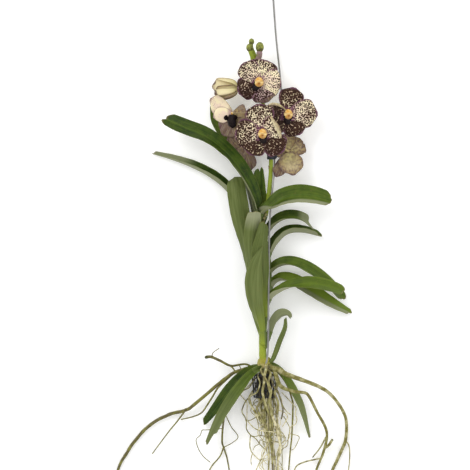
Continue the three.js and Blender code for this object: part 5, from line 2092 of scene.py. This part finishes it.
@dataclass
class RootBundle(Assembly):
    """The dense bundle of thin roots that starts inside the basket and hangs below the crown."""

    front: tuple[Strand, ...] = FRONT_ROOTS
    main: tuple[Strand, ...] = MAIN_ROOTS
    loops: tuple[Strand, ...] = LOOPED_ROOTS
    core: Rows = ((-5, -38, 27), (-3, -72, 26), (6, -116, 20), (8, -190, 14), (9, -256, 9))
    wanderers: int = 30
    mat_threads: int = 38
    lowest: float = -254
    floor_gap: float = 2.6
    seed: int = 21
    front_tints: tuple[float, float] = (0, 0.6)
    main_tints: tuple[float, float] = (0.3, 0.9)
    thin_tints: tuple[float, float] = (0.3, 1.25)
    # painted shade for the root threads inside the basket
    painted_basket_shade: float = 1.4

    def wandering(self, random: np.random.Generator) -> Strand:
        """Makes one thin root that leaves the bundle, swings out and turns back.

        Args:
            random: Where its chances come from.

        Returns:
            The root.
        """
        x, y, z = smooth_rows(self.core, np.array([random.uniform(0.12, 0.8)]))[0]
        hand = random.choice((-1.0, 1.0))
        out = hand * random.uniform(8, 30)
        fall = random.uniform(10, 26)
        rise = random.uniform(-8, 12)
        end = y - fall * random.uniform(1.9, 3.4)
        rows = (
            (x, y, z),
            (x + out * 0.7, y - fall * 0.3, z + rise),
            (x + out, y - fall, z + rise * 0.6),
            (x + out * 0.6, y - fall * 1.7, z + rise * 0.3),
            (x + out * random.uniform(0.1, 0.9), max(end, self.lowest), z * 0.6),
        )
        thick = random.uniform(0.55, 1.15)
        kept = [(*row[:2], max(self.floor_gap, row[2])) for row in rows]
        return Strand(kept, (thick, thick * 0.95, thick * 0.75))

    def matted(self, random: np.random.Generator) -> Strand:
        """Makes one root of the mat inside the basket, from the crown down through its end.

        Args:
            random: Where its chances come from.

        Returns:
            The root.
        """
        turn = random.uniform(0, 2 * math.pi)
        reach = random.uniform(4, 18.5)
        low_turn = turn + random.uniform(-1.1, 1.1)
        low = random.uniform(-150, -92)
        far, low_far = reach * math.sin(turn), reach * math.sin(low_turn)
        rows = (
            (-5 + 0.5 * reach * math.cos(turn), -26, 27.5 + 0.5 * far),
            (-5 + reach * math.cos(turn), -42, 27.5 + far),
            (-5 + reach * math.cos(low_turn), -60, 27.5 + low_far),
            (-1 + reach * 0.8 * math.cos(low_turn + 0.6), -82, 25 + 0.8 * low_far),
            (3 + reach * 0.8 * math.cos(low_turn + 1.2), low, 20 + 0.4 * low_far),
        )
        thick = random.uniform(0.9, 1.9)
        return Strand(rows, (thick, thick, thick * 0.7))

    def build(self, bench: Bench) -> None:
        """Makes the bundle.

        Args:
            bench: What it is made with.
        """
        random = np.random.default_rng(self.seed)
        patches = []
        for number, strand in enumerate((*self.front, *self.main)):
            tints = self.front_tints if number < len(self.front) else self.main_tints
            patches.append(strand.limb(12, 0.1, 6.0, number + 60, float(random.uniform(*tints))))
        thin = [*self.loops]
        thin += [self.wandering(random) for _ in range(self.wanderers)]
        thin += [self.matted(random) for _ in range(self.mat_threads)]
        first_matted = len(thin) - self.mat_threads
        for number, strand in enumerate(thin):
            tint = float(random.uniform(*self.thin_tints))
            thread = strand.limb(7, 0.12, 4.0, number + 80, tint, step=2.0)
            if number >= first_matted:
                # painted shade: threads inside the basket, above y = -78, are pulled towards the dark root
                # colour
                thread.tint = thread.tint - self.painted_basket_shade * np.clip((thread.points[:, 1] + 78) / 16, 0, 1)
            patches.append(thread)
        finish = RootFinish(bench.effects, "bundle_root", "#3a3220", "#8a8646", "#dfd7b0", "#66542e")
        bench.piece("root_bundle_strands", patches, [finish.material()], "root", ["root_bundle"])


# ---- basket
@dataclass(frozen=True)
class NetBasket(Assembly):
    """The black net basket round the crown: rim band, ribs, hoops and a spoked end."""

    x: float = -5
    rim_y: float = -22
    rim_radius: float = 28
    end_radius: float = 22
    depth: float = 48
    wall: float = 1.8
    lip: float = 5
    step: float = 2
    flat_sides: int = 16
    ribs: int = 24
    hoops: int = 3
    spokes: int = 12
    rim_thick: float = 4
    end_rings: tuple[float, float] = (7.0, 14.5)
    end_ring_half: float = 1.1

    def axis_z(self) -> float:
        """Gives the height of the basket's axis when its rim lies on the floor."""
        return self.rim_radius * math.cos(math.pi / self.flat_sides)

    def shift(self) -> Triple:
        """Gives the move that brings the middle of the rim's flat to the origin."""
        return (-self.x, self.lip / 2 - self.rim_y, 0.0)

    def wall_radius(self, down: float) -> float:
        """Gives the outer radius of the wall at a depth below the rim."""
        share = max(0.0, down - self.lip) / (self.depth - self.lip)
        return mix(self.rim_radius - self.step, self.end_radius, share)

    def rings(self) -> list[Patch]:
        """Makes the rim band, its bead, the hoops and the two rings of the end.

        Returns:
            Their patches, with the rim's top at height 0.
        """
        rim = self.axis_z()
        rings = [
            turned_ring(rounded_section(rim - self.rim_thick, rim, -self.lip, 0, 0.7), 96),
            turned_ring(rounded_section(rim - 5.4, rim - 1.2, -0.9, 0.4, 0.35), 96),
        ]
        for i in range(1, self.hoops + 1):
            down = self.lip + (self.depth - self.lip) * i / self.hoops
            radius = self.wall_radius(down)
            top = -down + (1.4 if i < self.hoops else 2.4)
            rings.append(turned_ring(rounded_section(radius - self.wall, radius, -down, top, 0.4), 72))
        for radius in self.end_rings:
            inner, outer = radius - self.end_ring_half, radius + self.end_ring_half
            rings.append(turned_ring(rounded_section(inner, outer, -self.depth, -self.depth + 1.6, 0.4), 48))
        return rings

    def bars(self) -> list[Patch]:
        """Makes the ribs of the wall and the spokes of the end.

        Returns:
            Their patches, laid out alike.
        """
        bars = []
        for k in range(self.ribs):
            outward, sideways = round_y((k + 0.5) / self.ribs * 2 * math.pi)
            depths = (self.lip - 2, self.lip + 10, self.depth * 0.6, self.depth - 1)
            middle = [self.wall_radius(down) - self.wall / 2 for down in depths]
            rows = [outward * reach - np.array([0, down, 0]) for reach, down in zip(middle, depths)]
            bars.append(round_limb(rows, (1.5, 1.4, 1.2), step=4, flat=0.62, side=sideways))
        drop = np.array([0, 0.8 - self.depth, 0])
        for k in range(self.spokes):
            outward, sideways = round_y(k / self.spokes * 2 * math.pi)
            rows = [outward * reach + drop for reach in (6, 13, self.end_radius - 1)]
            bars.append(round_limb(rows, (1.1, 1.1), sides=8, step=4, flat=0.7, side=sideways))
        return bars

    def build(self, bench: Bench) -> None:
        """Makes the basket.

        Args:
            bench: What it is made with.
        """
        middle = (self.x, self.rim_y, self.axis_z())
        patches = [shifted(patch, middle) for patch in [*self.rings(), *self.bars()]]
        material = PlasticFinish(bench.effects, "basket_plastic", "#090a0e", "#222732").material()
        bench.piece("net_basket_moulding", patches, [material], "basket", ["net_basket"])


# ---- wire and clip
@dataclass(frozen=True)
class HangingWire(Assembly):
    """The stiff steel wire from the basket's rim to its small hook."""

    radius: float = 1.8
    path: Rows = (
        (-5, -31, 57.2), (-5, -22, 57.2), (-3, -8, 58), (2, 30, 62), (3, 126, 67), (4, 220, 66), (5, 276, 61),
        (9, 330, 54), (13.6, 372, 46), (15, 404, 39), (16, 430, 35), (22, 490, 24), (29, 530, 18),
        (28, 556, 15), (25, 590, 12), (18, 656, 7), (13, 726, 2.4), (12, 744, 1.9))
    hook: Triple = (6, 752, 1.9)
    hook_radius: float = 7
    hook_turns: Sequence[float] = (-20, 22, 64, 106, 148, 190, 232)

    def rows(self) -> list[Triple]:
        """Gives the wire's points with the hook's turns at its end.

        Returns:
            Points in order.
        """
        x, y, z = self.hook
        turns = [math.radians(turn) for turn in self.hook_turns]
        bent = [(x + self.hook_radius * math.cos(a), y + self.hook_radius * math.sin(a), z) for a in turns]
        return [*self.path, *bent]

    def build(self, bench: Bench) -> None:
        """Makes the wire.

        Args:
            bench: What it is made with.
        """
        limb = round_limb(self.rows(), (self.radius, self.radius), sides=14, step=2.0, domes=(0.4, 0.4))
        material = SteelFinish(bench.effects).material()
        bench.piece("hanging_wire_drawn", [limb], [material], "wire", ["hanging_wire"])


@dataclass(frozen=True)
class SpikeClip(Assembly):
    """The black clip round the flower stalk: a ribbed sleeve with two finger plates."""

    centre: Triple = (7.4, 420, 45)
    inner: float = 5
    outer: float = 7.4
    height: float = 13
    grooves: int = 3
    plate_reach: float = 6
    plate_turns: tuple[float, float] = (72, 104)

    def plate(self, turn: float) -> Patch:
        """Makes one finger plate, standing off the sleeve.

        Args:
            turn: Where it stands round the stalk, in degrees.

        Returns:
            The plate.
        """
        s, q = blade_grid(np.linspace(0, 1, 12), 13)
        out, side = round_y(math.radians(turn))
        reach = self.outer - 0.6 + self.plate_reach * s
        high = -self.height / 2 + q * (self.height / 2 - 0.6) * np.sqrt(np.maximum(0.05, 1 - 0.8 * s**4))
        bow = 1.2 * s**2 + 0.25 * np.sin(s * 20)
        middle = out * reach[..., None] + np.array([0, 1.0, 0]) * high[..., None] + side * bow[..., None]
        half = side * (0.8 * np.sqrt(np.maximum(0, 1 - q**6)) * np.sqrt(np.maximum(0, 1 - s**10)))[..., None]
        return two_faced(middle + half, middle - half, stacked(reach, high, bow), stacked(q, s))

    def build(self, bench: Bench) -> None:
        """Makes the clip.

        Args:
            bench: What it is made with.
        """
        sections = [rounded_section(self.inner, self.outer, -self.height, 0, 0.5)]
        for i in range(self.grooves + 1):
            y = -0.8 - i * (self.height - 2.6) / self.grooves
            sections.append(rounded_section(self.outer - 0.6, self.outer + 0.6, y - 1.1, y, 0.3))
        patches = [turned_ring(section, 48) for section in sections]
        patches += [self.plate(turn) for turn in self.plate_turns]
        placed = [shifted(patch, self.centre) for patch in patches]
        material = PlasticFinish(bench.effects, "clip_plastic", "#0b0d14", "#232936", 0.28).material()
        bench.piece("spike_clip_moulding", placed, [material], "clip", ["spike_clip"])


# ---- studio
@dataclass(frozen=True)
class Lamp:
    """One round soft light, with its place and size in metres and its power in watts."""

    name: str
    place: Triple
    size: float
    power: float


@dataclass(frozen=True)
class Studio(Assembly):
    """Pale floor, even light from all round, two large soft lights, and the camera overhead."""

    view_middle: tuple[float, float] = (-64, 256)
    camera_height: float = 12000
    measured_height: float = 50
    picture_width: float = 940
    sensor: float = 36
    floor_size: float = 80.0
    world_light: float = 0.95
    aim: Triple = (0.0, 0.25, 0.0)
    lamps: tuple[Lamp, ...] = (
        Lamp("key_light", (-1.5, 1.9, 2.6), 1.6, 34.0), Lamp("side_light", (2.2, -0.6, 1.9), 2.2, 12.0))

    def place(self, name: str, data: bpy.types.ID) -> bpy.types.Object:
        """Puts an object into the scene.

        Args:
            name: Its name.
            data: Its mesh, camera or light.

        Returns:
            The object.
        """
        thing = bpy.data.objects.new(name, data)
        bpy.context.scene.collection.objects.link(thing)
        return thing

    def camera(self, bench: Bench) -> None:
        """Hangs the camera straight over the plant, looking down.

        Args:
            bench: What gives its place in the frame.
        """
        data = bpy.data.cameras.new("overhead_camera")
        data.sensor_width = self.sensor
        data.lens = self.sensor * (self.camera_height - self.measured_height) / self.picture_width
        data.clip_end = 100
        camera = self.place("overhead_camera", data)
        camera.location = bench.to_frame(np.array([*self.view_middle, self.camera_height]))
        bpy.context.scene.camera = camera

    def floor(self) -> None:
        """Lays the floor."""
        half = self.floor_size / 2
        mesh = bpy.data.meshes.new("floor")
        corners = [(-half, -half, 0), (half, -half, 0), (half, half, 0), (-half, half, 0)]
        mesh.from_pydata(corners, [], [(0, 1, 2, 3)])
        mesh.materials.append(FloorFinish().material())
        self.place("floor", mesh)

    def light(self, lamp: Lamp) -> None:
        """Hangs a round soft light that looks at the plant.

        Args:
            lamp: Its place, size and power.
        """
        data = bpy.data.lights.new(lamp.name, "AREA")
        data.shape, data.size, data.energy = "DISK", lamp.size, lamp.power
        thing = self.place(lamp.name, data)
        thing.location = lamp.place
        thing.rotation_mode = "QUATERNION"
        thing.rotation_quaternion = (Vector(self.aim) - Vector(lamp.place)).to_track_quat("-Z", "Y")

    def build(self, bench: Bench) -> None:
        """Sets up floor, light and camera.

        Args:
            bench: What gives the camera's place.
        """
        self.camera(bench)
        self.floor()
        world = bpy.data.worlds.new("even_light")
        world.use_nodes = True
        backdrop = world.node_tree.nodes["Background"]
        backdrop.inputs["Color"].default_value = (1.0, 1.0, 1.0, 1.0)
        backdrop.inputs["Strength"].default_value = self.world_light
        bpy.context.scene.world = world
        for lamp in self.lamps:
            self.light(lamp)
        view = bpy.context.scene.view_settings
        view.view_transform = "Standard"
        view.look = "None"


def main() -> None:
    """Builds the orchid's pieces around the frame."""
    logging.basicConfig(level=logging.INFO, format="%(message)s")
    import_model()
    basket = NetBasket()
    bench = Bench(basket.shift(), Effects(streak_effect(), mottle_effect(), spot_effect()))
    plant = (
        LeafFan(), Stem(), FlowerStalk(), BloomSpray(), AerialRoots(), RootBundle(), basket, HangingWire(),
        SpikeClip())
    for assembly in (Studio(), *plant):
        assembly.build(bench)
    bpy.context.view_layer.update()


if __name__ == "__main__":
    main()
